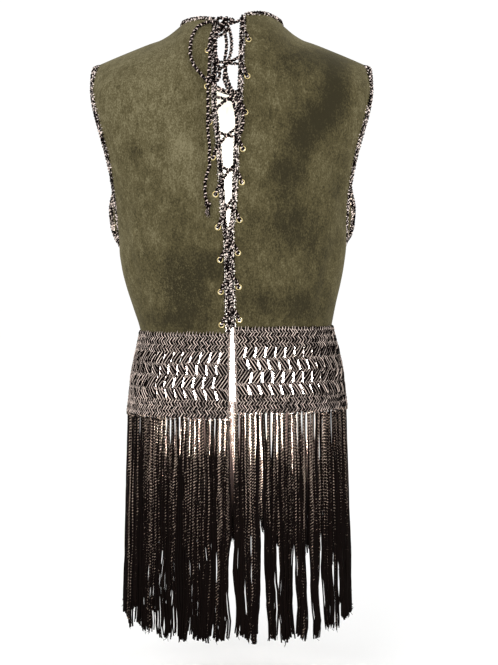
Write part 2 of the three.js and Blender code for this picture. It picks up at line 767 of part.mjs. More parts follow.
function pointAlong({ points, lengths, total }, distance) {
  const wanted = Math.min(Math.max(distance, 0), total);
  const past = Math.max(lengths.findIndex((length) => length >= wanted - 1e-9), 1);
  const t = (wanted - lengths[past - 1]) / (lengths[past] - lengths[past - 1]);
  return points[past - 1].clone().lerp(points[past], t);
}

function bandGeometry(side) {
  const levels = [{ drop: 0, lean: 0, phase: 0 }];
  for (const row of holeRows) {
    levels.push({ drop: row.top, lean: row.lean / 2, phase: row.phase });
    levels.push({ drop: row.foot, lean: -row.lean / 2, phase: row.phase });
  }
  levels.push({ drop: bandHeight, lean: 0, phase: 0.5 });
  const grid = levels.map(({ drop, lean, phase }) => {
    const section = bandSection(side, drop);
    const pitch = (section.total - slitMargin - frontMargin) / (holesInHalfRow + 0.5);
    const distances = [0];
    for (let k = 0; k < holesInHalfRow; k++) {
      const middle = slitMargin + pitch * (k + 0.25 + phase / 2) + side * lean;
      distances.push(middle - holeWidth / 2, middle + holeWidth / 2);
    }
    distances.push(section.total);
    return distances.map((distance) => pointAlong(section, distance));
  });
  const wall = side > 0 ? grid : grid.map((row) => [...row].reverse());
  wall.reverse();
  for (const row of wall) {
    const front = side > 0 ? row.at(-1) : row[0];
    front.x += (side * seam) / 2;
  }
  const normals = gridNormals(wall, (j, i) => {
    const axes = ["z"];
    if (i === (side > 0 ? wall[0].length - 1 : 0)) axes.push("x");
    return axes;
  });
  // Cells of a hole row, counted from the lower edge, are open at every second column.
  const open = (j, i) => j % 2 === 1 && i % 2 === 1;
  return wallGeometry(wall, normals, bandWall, open);
}
addPiece("band_left", bandGeometry(-1), crochet);
addPiece("band_right", bandGeometry(1), crochet);

// ---- fringe ----
function fringeGeometry(side) {
  const headTop = bandHeight + seam;
  const headFoot = headTop + fringeStrip;
  const sections = [bandSection(side, headTop), bandSection(side, headFoot)];
  const hanging = bandSection(side, 400);
  const points = [];
  const triangles = [];
  const quad = (a, b, c, d) => triangles.push([a, b, c], [a, c, d]);
  const add = (point) => points.push(point) - 1;
  const inwardAt = (section, distance) => {
    const ahead = pointAlong(section, distance + 2);
    const behind = pointAlong(section, distance - 2);
    return new THREE.Vector3(behind.y - ahead.y, ahead.x - behind.x, 0).multiplyScalar(side).normalize();
  };
  const columns = Array.from({ length: strandsPerHalf + 1 }, (_, i) => {
    const share = i / strandsPerHalf;
    return sections.map((section) => {
      const distance = share * section.total;
      const outer = pointAlong(section, distance);
      const inner = outer.clone().addScaledVector(inwardAt(section, distance), bandWall);
      if (i === strandsPerHalf) {
        outer.x += (side * seam) / 2;
        inner.x = outer.x;
      }
      return [add(outer), add(inner)];
    });
  });
  for (let i = 0; i < strandsPerHalf; i++) {
    const [[topOut, topIn], [footOut, footIn]] = columns[i];
    const [[nextTopOut, nextTopIn], [nextFootOut, nextFootIn]] = columns[i + 1];
    quad(footOut, nextFootOut, nextTopOut, topOut);
    quad(topIn, nextTopIn, nextFootIn, footIn);
    quad(topOut, nextTopOut, nextTopIn, topIn);
    if (i === 0) quad(topOut, topIn, footIn, footOut);
    if (i === strandsPerHalf - 1) quad(nextTopOut, nextFootOut, nextFootIn, nextTopIn);

    const share = (i + 0.5) / strandsPerHalf;
    const endZ = rowAt(fringeEnds, "round", share).z + 7 * uneven(i, side);
    const tipPlace = pointAlong(hanging, share * hanging.total);
    const tip = tipPlace.setZ(endZ);
    const root = points[footOut].clone().add(points[nextFootIn]).multiplyScalar(0.5);
    tip.addScaledVector(inwardAt(hanging, share * hanging.total), 2.2 + uneven(i, side + 4));
    const across = points[nextFootOut].clone().sub(points[footOut]).setZ(0);
    const through = points[footIn].clone().sub(points[footOut]).setZ(0);
    tip.addScaledVector(across, 0.16 * uneven(i, side + 2));
    const ring = (middle, width, thick) =>
      [
        [-1, -1],
        [1, -1],
        [1, 1],
        [-1, 1],
      ].map(([a, b]) =>
        add(middle.clone().addScaledVector(across, (a * width) / 2).addScaledVector(through, (b * thick) / 2)),
      );
    const shoulderAt = strandTaper.shoulderDrop / (root.z - endZ);
    const rings = [
      [footOut, nextFootOut, nextFootIn, footIn],
      ring(root.clone().lerp(tip, shoulderAt), strandTaper.shoulderWidth, 0.85),
      ring(tip, strandTaper.tipWidth, strandTaper.tipThick),
    ];
    for (let r = 0; r < rings.length - 1; r++) {
      for (let s = 0; s < 4; s++) {
        const t = (s + 1) % 4;
        quad(rings[r + 1][s], rings[r + 1][t], rings[r][t], rings[r][s]);
      }
    }
    quad(rings[2][3], rings[2][2], rings[2][1], rings[2][0]);
  }
  return geometryFrom(points, triangles);
}
addPiece("fringe_left", fringeGeometry(-1), yarn);
addPiece("fringe_right", fringeGeometry(1), yarn);

export default vest;
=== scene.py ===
import bpy
import math
import numpy as np
from mathutils import Matrix, Vector


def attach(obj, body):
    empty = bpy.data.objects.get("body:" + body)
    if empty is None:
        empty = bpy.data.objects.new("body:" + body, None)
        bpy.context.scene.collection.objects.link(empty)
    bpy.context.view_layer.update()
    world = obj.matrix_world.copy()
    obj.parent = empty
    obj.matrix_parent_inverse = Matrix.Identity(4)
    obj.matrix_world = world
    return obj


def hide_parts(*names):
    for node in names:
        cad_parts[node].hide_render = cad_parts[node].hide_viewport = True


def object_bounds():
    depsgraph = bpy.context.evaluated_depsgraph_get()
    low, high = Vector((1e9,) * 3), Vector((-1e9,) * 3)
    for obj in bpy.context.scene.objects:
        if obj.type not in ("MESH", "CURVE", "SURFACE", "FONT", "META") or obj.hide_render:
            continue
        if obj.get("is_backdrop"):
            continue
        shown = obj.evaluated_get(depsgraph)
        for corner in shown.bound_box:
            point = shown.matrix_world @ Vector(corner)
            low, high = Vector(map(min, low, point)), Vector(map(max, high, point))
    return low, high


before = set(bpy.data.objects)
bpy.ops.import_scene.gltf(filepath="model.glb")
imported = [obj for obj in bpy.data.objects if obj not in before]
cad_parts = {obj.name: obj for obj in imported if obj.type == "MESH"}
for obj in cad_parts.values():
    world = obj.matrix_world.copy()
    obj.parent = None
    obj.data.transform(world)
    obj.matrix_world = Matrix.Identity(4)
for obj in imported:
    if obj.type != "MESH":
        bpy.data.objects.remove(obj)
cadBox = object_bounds()
rng = np.random.default_rng(11)
mm = 0.001
bothSides = (("left", -1), ("right", 1))


# ---- studio ----
studio = {
    "cameraAt": (0.0231, -1.75, -0.364),
    "lookDown": 1.669,  # degrees
    "lens": 69.67,
    "clipEnd": 50,
    "floorZ": -0.9,
    "floorSize": 400,
    "floorColour": (0.985, 0.985, 0.98, 1),
    "floorRoughness": 0.9,
    "worldLight": 1.03,
    "middle": (0, 0, -0.35),
}
lights = {
    "keyLight": {"at": (-0.9, -2.3, 0.7), "size": 1.4, "power": 24.0},
    "fillLight": {"at": (1.5, -1.7, -0.1), "size": 1.2, "power": 9.0},
    "insideGlow": {
        "at": (0.0, -0.02, -0.3),
        "aim": (0.0, 1, -0.3),
        "size": 0.16,
        "height": 0.3,
        "power": 1.0,
    },
    "hipGlow": {
        "at": (0.006, 0.0, -0.515),
        "aim": (0.006, 1, -0.515),
        "size": 0.18,
        "height": 0.18,
        "spread": 80,  # degrees
        "power": 7.5,
    },
}


def addLight(name, look):
    bpy.ops.object.light_add(type="AREA", location=look["at"])
    light = bpy.context.object
    light.name = name
    light.data.energy = look["power"]
    light.data.size = look["size"]
    light.data.spread = math.radians(look.get("spread", 180))
    if "height" in look:
        light.data.shape = "RECTANGLE"
        light.data.size_y = look["height"]
    direction = Vector(look.get("aim", studio["middle"])) - Vector(look["at"])
    light.rotation_euler = direction.to_track_quat("-Z", "Y").to_euler()
    light.visible_camera = False


def setStudio():
    tilt = math.radians(90 - studio["lookDown"])
    bpy.ops.object.camera_add(location=studio["cameraAt"], rotation=(tilt, 0, 0))
    camera = bpy.context.object
    camera.name = "studioCamera"
    camera.data.lens = studio["lens"]
    camera.data.clip_end = studio["clipEnd"]
    bpy.context.scene.camera = camera

    bpy.ops.mesh.primitive_plane_add(size=studio["floorSize"], location=(0, 0, studio["floorZ"]))
    floor = bpy.context.object
    floor.name = "floor"
    paper = bpy.data.materials.new("floorPaper")
    paper.use_nodes = True
    inputs = paper.node_tree.nodes["Principled BSDF"].inputs
    inputs["Base Color"].default_value = studio["floorColour"]
    inputs["Roughness"].default_value = studio["floorRoughness"]
    floor.data.materials.append(paper)
    floor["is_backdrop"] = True

    world = bpy.data.worlds.new("softWhite")
    world.use_nodes = True
    background = world.node_tree.nodes["Background"]
    background.inputs["Color"].default_value = (1, 1, 1, 1)
    background.inputs["Strength"].default_value = studio["worldLight"]
    bpy.context.scene.world = world
    bpy.context.scene.view_settings.view_transform = "Standard"
    for name, look in lights.items():
        addLight(name, look)


setStudio()
print("studio: camera, floor and lights")


# ---- small helpers ----
def mix(a, b, t):
    return a + (b - a) * t


def tint(red, green, blue, gain=1.0):
    # a screen colour, 0 to 255, as the shader's own linear one
    parts = [c / 255 for c in (red, green, blue)]
    linear = [c / 12.92 if c <= 0.04045 else ((c + 0.055) / 1.055) ** 2.4 for c in parts]
    return (*[c * gain for c in linear], 1)


def unit(v):
    return v / np.maximum(np.linalg.norm(v, axis=-1, keepdims=True), 1e-12)


def bumpAt(value, middle, spread):
    return np.exp(-(((value - middle) / spread) ** 2))


def distanceAlong(points):
    return np.concatenate([[0], np.cumsum(np.linalg.norm(np.diff(points, axis=0), axis=1))])


def valuesAt(wanted, places, values):
    # each column of values, read off between its places
    return np.stack([np.interp(wanted, places, column) for column in values.T], axis=-1)


def smoothAlong(t, values, wanted):
    # a smooth line through values that never swings past them
    shape = (-1,) + (1,) * (values.ndim - 1)
    h = np.diff(t).reshape(shape)
    d = np.diff(values, axis=0) / h
    m = np.zeros_like(values)
    m[0], m[-1] = d[0], d[-1]
    w1, w2 = 2 * h[1:] + h[:-1], h[1:] + 2 * h[:-1]
    same = d[:-1] * d[1:] > 0
    a = np.where(same, d[:-1], 1)
    b = np.where(same, d[1:], 1)
    m[1:-1] = np.where(same, (w1 + w2) / (w1 / a + w2 / b), 0)
    k = np.clip(np.searchsorted(t, wanted) - 1, 0, len(t) - 2)
    step = (t[k + 1] - t[k]).reshape(shape)
    s = ((wanted - t[k]) / (t[k + 1] - t[k])).reshape(shape)
    return (
        (2 * s**3 - 3 * s**2 + 1) * values[k]
        + (s**3 - 2 * s**2 + s) * step * m[k]
        + (3 * s**2 - 2 * s**3) * values[k + 1]
        + (s**3 - s**2) * step * m[k + 1]
    )


def evenly(points, step, closed=False):
    # the points of a line, the same distance apart
    if closed:
        points = np.vstack([points, points[:1]])
    lengths = distanceAlong(points[:, :3])
    count = max(int(round(lengths[-1] / step)), 2)
    wanted = np.linspace(0, lengths[-1], count + 1)
    return valuesAt(wanted[:-1] if closed else wanted, lengths, points)


def smoothLine(points, step):
    # a smooth curve through the points, cut into even steps
    points = np.asarray(points, float)
    ends = np.vstack([2 * points[0] - points[1], points, 2 * points[-1] - points[-2]])
    s = np.linspace(0, 1, 12, endpoint=False)[:, None]
    out = []
    for a, b, c, d in zip(ends, ends[1:], ends[2:], ends[3:]):
        bend = (2 * a - 5 * b + 4 * c - d) * s**2 + (3 * b - a - 3 * c + d) * s**3
        out.append(0.5 * (2 * b + (c - a) * s + bend))
    return evenly(np.vstack([*out, points[-1:]]), step)


def smoothRing(values, passes=6):
    for _ in range(passes):
        values = (np.roll(values, 1, axis=0) + 2 * values + np.roll(values, -1, axis=0)) / 4
    return unit(values)


def resampleRows(grid, rows):
    t = np.linspace(0, len(grid) - 1, rows)
    low = np.clip(t.astype(int), 0, len(grid) - 2)
    part = (t - low)[:, None, None]
    return grid[low] * (1 - part) + grid[low + 1] * part


def softWaves(x, z, size, seed):
    # a gentle unevenness of about that size
    local = np.random.default_rng(seed)
    total = np.zeros_like(x)
    for _ in range(9):
        a = local.uniform(0, 2 * np.pi)
        k = 2 * np.pi / (size * local.uniform(0.7, 1.7))
        total += np.sin(k * (np.cos(a) * x + 0.6 * np.sin(a) * z) + local.uniform(0, 6.28))
    return total / 3


# ---- meshes ----
def selectOnly(piece):
    bpy.ops.object.select_all(action="DESELECT")
    piece.select_set(True)
    bpy.context.view_layer.objects.active = piece


def editMesh(piece, operation, **settings):
    # one mesh operator, on all of the piece
    selectOnly(piece)
    bpy.ops.object.mode_set(mode="EDIT")
    bpy.ops.mesh.select_all(action="SELECT")
    getattr(bpy.ops.mesh, operation)(**settings)
    bpy.ops.object.mode_set(mode="OBJECT")


def meshObject(name, points, faces, material):
    mesh = bpy.data.meshes.new(name)
    mesh.from_pydata((np.asarray(points) * mm).tolist(), [], faces)
    mesh.update()
    mesh.polygons.foreach_set("use_smooth", [True] * len(mesh.polygons))
    piece = bpy.data.objects.new(name, mesh)
    bpy.context.collection.objects.link(piece)
    mesh.materials.append(material)
    return piece


def floatAttribute(piece, name, values):
    attribute = piece.data.attributes.new(name, "FLOAT", "POINT")
    attribute.data.foreach_set("value", np.asarray(values, np.float32).ravel())


def clothWall(piece, thickness, inside):
    # the outer face keeps its place and gets a wrong side of its own material
    piece.data.materials.append(inside)
    selectOnly(piece)
    wall = piece.modifiers.new("wall", "SOLIDIFY")
    wall.thickness = thickness * mm
    wall.offset = -1
    wall.use_even_offset = True
    wall.material_offset = 1
    wall.material_offset_rim = 0
    bpy.ops.object.modifier_apply(modifier="wall")


def declare(piece, node=None):
    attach(piece, "root")
    if node:
        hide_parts(node)
    return piece


# ---- yarn: many tubes in one mesh ----
def newYarn():
    return {"points": [], "faces": [], "uv": [], "tone": [], "depth": [], "count": 0}


def addTubes(yarn, paths, radii, up, sides=5, tone=None, depth=0.0, capped=False):
    # paths: strands x points x 3, in mm; up: a direction that is never along the strand
    paths = np.asarray(paths, float)
    strands, rings = paths.shape[:2]
    radii = np.broadcast_to(radii, (strands, rings))
    along = unit(np.gradient(paths, axis=1))
    across = unit(np.cross(along, np.broadcast_to(up, paths.shape)))
    other = np.cross(across, along)
    angle = (2 * np.pi * np.arange(sides) / sides)[:, None]
    ring = across[:, :, None] * np.cos(angle) + other[:, :, None] * np.sin(angle)
    points = paths[:, :, None] + ring * radii[:, :, None, None]
    steps = np.linalg.norm(np.diff(paths, axis=1, prepend=paths[:, :1]), axis=2)
    lengths = np.cumsum(steps, axis=1) + rng.uniform(0, 50, (strands, 1))
    if tone is None:
        tone = rng.uniform(0, 1, strands)

    s, r, k = np.meshgrid(np.arange(strands), np.arange(rings - 1), np.arange(sides), indexing="ij")

    def corner(ringAt, sideAt):
        return yarn["count"] + (s * rings + ringAt) * sides + sideAt % sides

    quads = np.stack([corner(r, k), corner(r, k + 1), corner(r + 1, k + 1), corner(r + 1, k)], axis=-1)
    yarn["faces"].extend(quads.reshape(-1, 4).tolist())
    u0, u1 = lengths[s, r], lengths[s, r + 1]
    v0, v1 = k / sides, (k + 1) / sides
    yarn["uv"].append(np.stack([u0, v0, u0, v1, u1, v1, u1, v0], axis=-1).reshape(-1, 2))
    for strand in range(strands if capped else 0):
        for end in (0, rings - 1):
            first = yarn["count"] + (strand * rings + end) * sides
            loop = list(range(first, first + sides))
            yarn["faces"].append(loop[::-1] if end == 0 else loop)
            yarn["uv"].append(np.tile([[lengths[strand, end], 0.5]], (sides, 1)))
    yarn["points"].append(points.reshape(-1, 3))
    for key, value in (("tone", np.reshape(tone, (-1, 1))), ("depth", depth)):
        yarn[key].append(np.repeat(np.broadcast_to(value, (strands, rings)).reshape(-1), sides))
    yarn["count"] += strands * rings * sides


def addTwist(yarn, path, plyRadius, offset, sides=6):
    # a cord twisted from two plies; path in mm, in even steps
    along = unit(np.gradient(path, axis=0))
    side = np.zeros_like(path)
    side[0] = unit(np.cross(along[0], [0.3, 0.2, 1]))
    for i in range(1, len(path)):
        side[i] = unit(side[i - 1] - np.dot(side[i - 1], along[i]) * along[i])
    other = np.cross(along, side)
    steps = distanceAlong(path)
    for k in range(2):
        angle = (2 * np.pi * (steps / lacing["twist"] + k / 2))[:, None]
        line = path + offset * (np.cos(angle) * side + np.sin(angle) * other)
        addTubes(yarn, line[None], plyRadius, side[None], sides, tone=[(k + 0.5) / 2], capped=True)


def addHairs(yarn, draw, roots, hair, depth=0.0):
    # loose hairs that hang from a cut end and curl
    count = len(roots)
    fall = [draw.normal(*hair["across"], count), draw.normal(*hair["out"], count)]
    fall = np.stack([*fall, -draw.uniform(*hair["down"], count)], axis=1)
    curl = np.stack([*[draw.normal(0, c, count) for c in hair["curl"]], np.zeros(count)], axis=1)
    s = np.linspace(0, 1, hair["points"])
    wave = np.sin(hair["bends"] * np.pi * s)[None, :, None]
    paths = roots[:, None] + fall[:, None] * s[None, :, None] + curl[:, None] * wave
    addTubes(yarn, paths, np.linspace(*hair["radius"], len(s)), hair["up"], 4, depth=depth, capped=True)


def yarnObject(yarn, name, material, node=None):
    piece = meshObject(name, np.vstack(yarn["points"]), yarn["faces"], material)
    layer = piece.data.uv_layers.new(name="strand")
    layer.data.foreach_set("uv", np.vstack(yarn["uv"]).astype(np.float32).ravel())
    floatAttribute(piece, "tone", np.concatenate(yarn["tone"]))
    floatAttribute(piece, "depth", np.concatenate(yarn["depth"]))
    return declare(piece, node)


# ---- materials ----
def newMaterial(name, roughness, specular=0.5):
    # the material, the inputs of its shader and the place on the piece
    material = bpy.data.materials.new(name)
    material.use_nodes = True
    nodes = material.node_tree.nodes
    inputs = nodes["Principled BSDF"].inputs
    feed(roughness, inputs["Roughness"])
    feed(specular, inputs["Specular IOR Level"])
    return material, inputs, nodes.new("ShaderNodeTexCoord").outputs["Object"]


def feed(value, socket):
    if isinstance(value, bpy.types.NodeSocket):
        socket.id_data.links.new(value, socket)
    else:
        socket.default_value = value


def treeOf(*values):
    return next(v.id_data for v in values if isinstance(v, bpy.types.NodeSocket))


def mathNode(operation, *values):
    node = treeOf(*values).nodes.new("ShaderNodeMath")
    node.operation = operation
    for value, socket in zip(values, node.inputs):
        feed(value, socket)
    return node.outputs[0]


def timesPlus(a, b, c):
    return mathNode("MULTIPLY_ADD", a, b, c)


def clamped(value):
    return mathNode("MINIMUM", mathNode("MAXIMUM", value, 0.0), 1.0)


def attributeNode(place, name):
    node = place.id_data.nodes.new("ShaderNodeAttribute")
    node.attribute_name = name
    return node.outputs["Fac"]


def partsOf(vector):
    node = vector.id_data.nodes.new("ShaderNodeSeparateXYZ")
    feed(vector, node.inputs["Vector"])
    return node.outputs


def rampNode(factor, *stops):
    node = factor.id_data.nodes.new("ShaderNodeValToRGB")
    elements = node.color_ramp.elements
    while len(elements) < len(stops):
        elements.new(0.5)
    for element, (position, colour) in zip(elements, stops):
        element.position = position
        element.color = colour
    feed(factor, node.inputs["Fac"])
    return node.outputs["Color"]


def noiseNode(place, scale, detail, roughness=0.55, stretch=1):
    # stretch: the scale along Z against the other two
    nodes = place.id_data.nodes
    mapping = nodes.new("ShaderNodeMapping")
    mapping.inputs["Scale"].default_value = (scale, scale, scale * stretch)
    feed(place, mapping.inputs["Vector"])
    noise = nodes.new("ShaderNodeTexNoise")
    feed(1.0, noise.inputs["Scale"])
    feed(detail, noise.inputs["Detail"])
    feed(roughness, noise.inputs["Roughness"])
    feed(mapping.outputs["Vector"], noise.inputs["Vector"])
    return noise.outputs["Fac"]


def bumpNode(height, strength, distance):
    node = height.id_data.nodes.new("ShaderNodeBump")
    feed(strength, node.inputs["Strength"])
    feed(distance, node.inputs["Distance"])
    feed(height, node.inputs["Height"])
    return node.outputs["Normal"]


def mixColour(factor, a, b, blend="MIX"):
    node = treeOf(factor, a, b).nodes.new("ShaderNodeMix")
    node.data_type = "RGBA"
    node.blend_type = blend
    for socket, value in ((node.inputs[0], factor), (node.inputs[6], a), (node.inputs[7], b)):
        feed(value, socket)
    return node.outputs[2]


suedeLook = {
    "dark": tint(52, 47, 30, 0.7),
    "middle": tint(92, 84, 56, 0.7),
    "light": tint(136, 128, 98, 0.7),
    "sheen": tint(190, 180, 140),
    "insideDark": tint(203, 199, 186),
    "insideLight": tint(236, 233, 223),
    # painted shade for the inside towards the side seams
    "insideShade": tint(66, 61, 44),
    # scale, detail, roughness, stretch and share of each noise
    "noises": {
        "clouds": (14, 3, 0.55, 0.8, 0.5),
        "mottle": (75, 5, 0.6, 0.7, 0.62),
        "brushed": (260, 3, 0.55, 0.3, 0.42),
        "nap": (620, 3, 0.6, 0.6, 1.1),
        "grain": (1500, 2, 0.5, 0.8, 0.65),
    },
    "level": 0.915,
    "scratches": 0.5,
}


def suedeMaterial():
    material, inputs, place = newMaterial("oliveSuede", 0.94, 0.12)
    noises = {}
    level = -0.25
    for name, (scale, detail, roughness, stretch, share) in suedeLook["noises"].items():
        noises[name] = noiseNode(place, scale, detail, roughness, stretch)
        level = timesPlus(noises[name], share, level)
    # the attribute carries scuffed nap together with painted light and shade
    level = mathNode("ADD", level, attributeNode(place, "wearAndShade"))
    level = mathNode("SUBTRACT", level, suedeLook["level"])
    # fine light scratches where the nap is scuffed
    scratch = mathNode("ABSOLUTE", mathNode("SUBTRACT", noiseNode(place, 330, 2, 0.5, 0.8), 0.5))
    scratch = mathNode("MAXIMUM", timesPlus(scratch, -26.0, 1.0), 0.0)
    scratch = mathNode("MULTIPLY", scratch, attributeNode(place, "scuff"))
    level = timesPlus(scratch, suedeLook["scratches"], level)
    stops = ((0.12, suedeLook["dark"]), (0.5, suedeLook["middle"]), (0.88, suedeLook["light"]))
    feed(rampNode(level, *stops), inputs["Base Color"])
    height = timesPlus(noises["brushed"], 1.2, mathNode("ADD", noises["nap"], noises["grain"]))
    feed(bumpNode(height, 0.35, 0.0006), inputs["Normal"])
    feed(0.18, inputs["Sheen Weight"])
    feed(0.5, inputs["Sheen Roughness"])
    feed(suedeLook["sheen"], inputs["Sheen Tint"])
    return material


def suedeInsideMaterial():
    material, inputs, place = newMaterial("suedeWrongSide", 0.9, 0.1)
    fibre = noiseNode(place, 260, 4, stretch=0.5)
    colour = rampNode(fibre, (0.25, suedeLook["insideDark"]), (0.75, suedeLook["insideLight"]))
    # painted shade: the wrong side turns dark olive towards the side seams, where the inside is seen
    # through the armholes
    aside = timesPlus(fibre, 0.012, mathNode("ABSOLUTE", partsOf(place)["X"]))
    aside = clamped(timesPlus(aside, 28.0, -2.9))
    feed(mixColour(aside, colour, suedeLook["insideShade"]), inputs["Base Color"])
    feed(bumpNode(fibre, 0.2, 0.0004), inputs["Normal"])
    return material


yarnDark = tint(16, 8, 7, 0.7)
yarnLight = tint(232, 214, 206)
# pitch: mm to a turn; share: of the light ply; byTone and byDepth: how far these change the share;
# ragged: how uneven the light ply's edge is; turned: how far the strands are turned from each other
yarnLooks = {
    "crochetYarn": {
        "dark": tint(12, 5, 4, 0.6), "light": tint(255, 236, 224), "pitch": 400.0, "share": 0.106,
        "byTone": 0.06, "byDepth": 0.0, "ragged": 0.08, "turned": 0.03,
    },
    "edgingYarn": {
        "dark": yarnDark, "light": tint(250, 236, 228), "pitch": 4.8, "share": 0.28,
        "byTone": 0.8, "byDepth": 0.0, "ragged": 0.35, "turned": 1.0,
    },
    "fringeYarn": {
        "dark": tint(20, 12, 9, 0.6), "light": tint(198, 178, 163), "pitch": 3.9, "share": 0.24,
        "byTone": 0.6, "byDepth": 0.5, "ragged": 0.7, "turned": 1.0,
    },
    "lacingYarn": {
        "dark": yarnDark, "light": yarnLight, "pitch": 3.8, "share": 0.18,
        "byTone": 0.6, "byDepth": 0.0, "ragged": 0.35, "turned": 1.0,
    },
    "knotYarn": {
        "dark": yarnDark, "light": yarnLight, "pitch": 3.8, "share": 0.14,
        "byTone": 0.5, "byDepth": 0.0, "ragged": 0.4, "turned": 1.0,
    },
}


def yarnMaterial(name):
    # two plies twisted together, told apart by the strand's own uv: length in mm and round
    look = yarnLooks[name]
    material, inputs, place = newMaterial(name, 0.86, 0.05)
    uvMap = place.id_data.nodes.new("ShaderNodeUVMap")
    uvMap.uv_map = "strand"
    uv = partsOf(uvMap.outputs["UV"])
    tone = attributeNode(place, "tone")
    depth = attributeNode(place, "depth")
    turn = timesPlus(uv["X"], 1 / look["pitch"], uv["Y"])
    turn = mathNode("ADD", turn, mathNode("MULTIPLY", tone, look["turned"]))
    turn = mathNode("ADD", turn, 0.75 - look["share"] / 2 - 25 / look["pitch"] - look["turned"] / 2)
    edge = timesPlus(noiseNode(place, 380, 2), look["ragged"], mathNode("FRACT", turn))
    cut = mathNode("MULTIPLY", depth, look["byDepth"])
    cut = mathNode("ADD", cut, 1 + look["ragged"] / 2 - look["share"])
    cut = mathNode("ADD", cut, timesPlus(tone, -look["byTone"], look["byTone"] / 2))
    isLight = clamped(mathNode("MULTIPLY", mathNode("SUBTRACT", edge, cut), 12.0))
    colour = mixColour(isLight, look["dark"], look["light"])
    shade = rampNode(tone, (0.0, (0.72, 0.7, 0.7, 1)), (1.0, (1.2, 1.17, 1.15, 1)))
    feed(mixColour(1.0, colour, shade, "MULTIPLY"), inputs["Base Color"])
    ridge = mathNode("SINE", mathNode("MULTIPLY", turn, 2 * math.pi * 2))
    height = timesPlus(ridge, 0.4, noiseNode(place, 2600, 2))
    feed(bumpNode(height, 0.5, 0.0005), inputs["Normal"])
    return material


def groundMaterial(name, dark, light):
    material, inputs, place = newMaterial(name, 0.9, 0.15)
    cells = noiseNode(place, 700, 3)
    feed(rampNode(cells, (0.46, dark), (0.66, light)), inputs["Base Color"])
    feed(bumpNode(cells, 0.6, 0.001), inputs["Normal"])
    return material


def brassMaterial():
    material, inputs, place = newMaterial("paleBrass", 0.5)
    worn = noiseNode(place, 900, 3)
    feed(rampNode(worn, (0.3, tint(196, 170, 108)), (0.7, tint(246, 230, 176))), inputs["Base Color"])
    feed(timesPlus(worn, 0.25, 0.12), inputs["Roughness"])
    feed(bumpNode(worn, 0.08, 0.0002), inputs["Normal"])
    feed(1.0, inputs["Metallic"])
    return material


suede = suedeMaterial()
suedeInside = suedeInsideMaterial()
yarns = {name: yarnMaterial(name) for name in yarnLooks}
# the band's ground: dark as the yarn's dark ply, and painted shade in the gaps between the strands
shadedCrochetGround = groundMaterial("shadedCrochetGround", tint(12, 6, 5, 0.7), tint(44, 32, 27, 0.7))
crochetInside = groundMaterial("crochetWrongSide", tint(168, 158, 150), tint(235, 229, 222))
brass = brassMaterial()
print("materials made")


# ---- the suede's cut: sections from the waist up, in mm ----
cut = {
    "seam": 0.3,
    "wall": 1.8,
    "waistZ": -412.0,
    "neckHalfWidth": 68.0,
    "neckShare": 0.3,
    "rightLift": 7.0,
    "liftStartZ": -200.0,
    "frontNeckDrop": 80.0,
    "neckRim": {"backY": 62.0, "backZ": -7.0, "frontY": 84.0},
    "squareness": {"back": 0.8, "front": 0.92},
    "facing": {"back": -1, "front": 1},
    "upperRows": 4,
    "upperBend": [0.6, 0.14, 0.68],
    "underarmZ": {-1: -299, 1: -297},
}
sectionTables = {
    "back": {
        "z": [-412, -385, -355, -326, -299, -295, -286, -270, -246, -215, -180, -146, -116, -90],
        "shift": [6, 4, 2.5, 1.5, 1, 1, 1, 0.5, 0, 0, 0, 0, 0, 0],
        "depth": [88, 90, 94, 97, 99, 99, 100, 101, 102, 104, 104, 103, 101, 97],
        "edgeX": [129, 136, 144, 150, 153, 153, 153, 153, 154, 157, 163, 172, 180, 185],
        "edgeY": [0, 0, 0, 0, 0, 9, 17, 25, 33, 41, 46, 47, 42, 31],
    },
    "front": {
        "z": [-412, -385, -355, -326, -299, -295, -286, -270, -246, -215, -180, -150, -124, -104],
        "shift": [6, 4, 2.5, 1.5, 1, 1, 1, 0.5, 0, 0, 0, 0, 0, 0],
        "depth": [92, 97, 106, 117, 124, 125, 126, 127, 126, 122, 114, 105, 97, 92],
        "edgeX": [129, 136, 144, 150, 153, 155, 160, 165, 167, 162, 158, 161, 169, 177],
        "edgeY": [0, 0, 0, 0, 0, 9, 19, 29, 39, 49, 55, 55, 49, 40],
    },
}
shoulderSeam = {"x": [68, 82, 98, 135, 181], "z": [0, -9, -18, -34, -54]}
openingEdges = {
    "z": [-412, -350, -287, -274, -230, -178, -113, -45, 0],
    -1: [-6.9, -8.3, -9.3, -12.3, -14.9, -18.7, -25.2, -24.5, -24],
    1: [5.7, 4.3, 3.3, 5.9, 8.5, 10.2, 14.9, 17.6, 18.5],
}


def openingX(side, z):
    return np.interp(z, openingEdges["z"], openingEdges[side])


def topRow(half, side, us):
    # the neckline and the shoulder seam
    share, rim, seam = cut["neckShare"], cut["neckRim"], cut["seam"] / 2
    start = math.asin(side * (openingX(side, 0) if half == "back" else 0) / cut["neckHalfWidth"])
    angle = mix(start, math.pi / 2, np.clip(us / share, 0, 1))
    cosine = np.maximum(np.cos(angle), 0)
    if half == "back":
        y, z = -rim["backY"] * cosine - seam, rim["backZ"] * cosine
    else:
        y, z = rim["frontY"] * cosine**0.8 + seam, -cut["frontNeckDrop"] * cosine**1.3
    neck = np.stack([side * cut["neckHalfWidth"] * np.sin(angle), y, z], axis=1)
    seamX = mix(cut["neckHalfWidth"], shoulderSeam["x"][-1], (us - share) / (1 - share))
    seamY = np.full_like(us, cut["facing"][half] * seam)
    seamZ = np.interp(seamX, shoulderSeam["x"], shoulderSeam["z"])
    return np.where((us > share)[:, None], np.stack([side * seamX, seamY, seamZ], axis=1), neck)


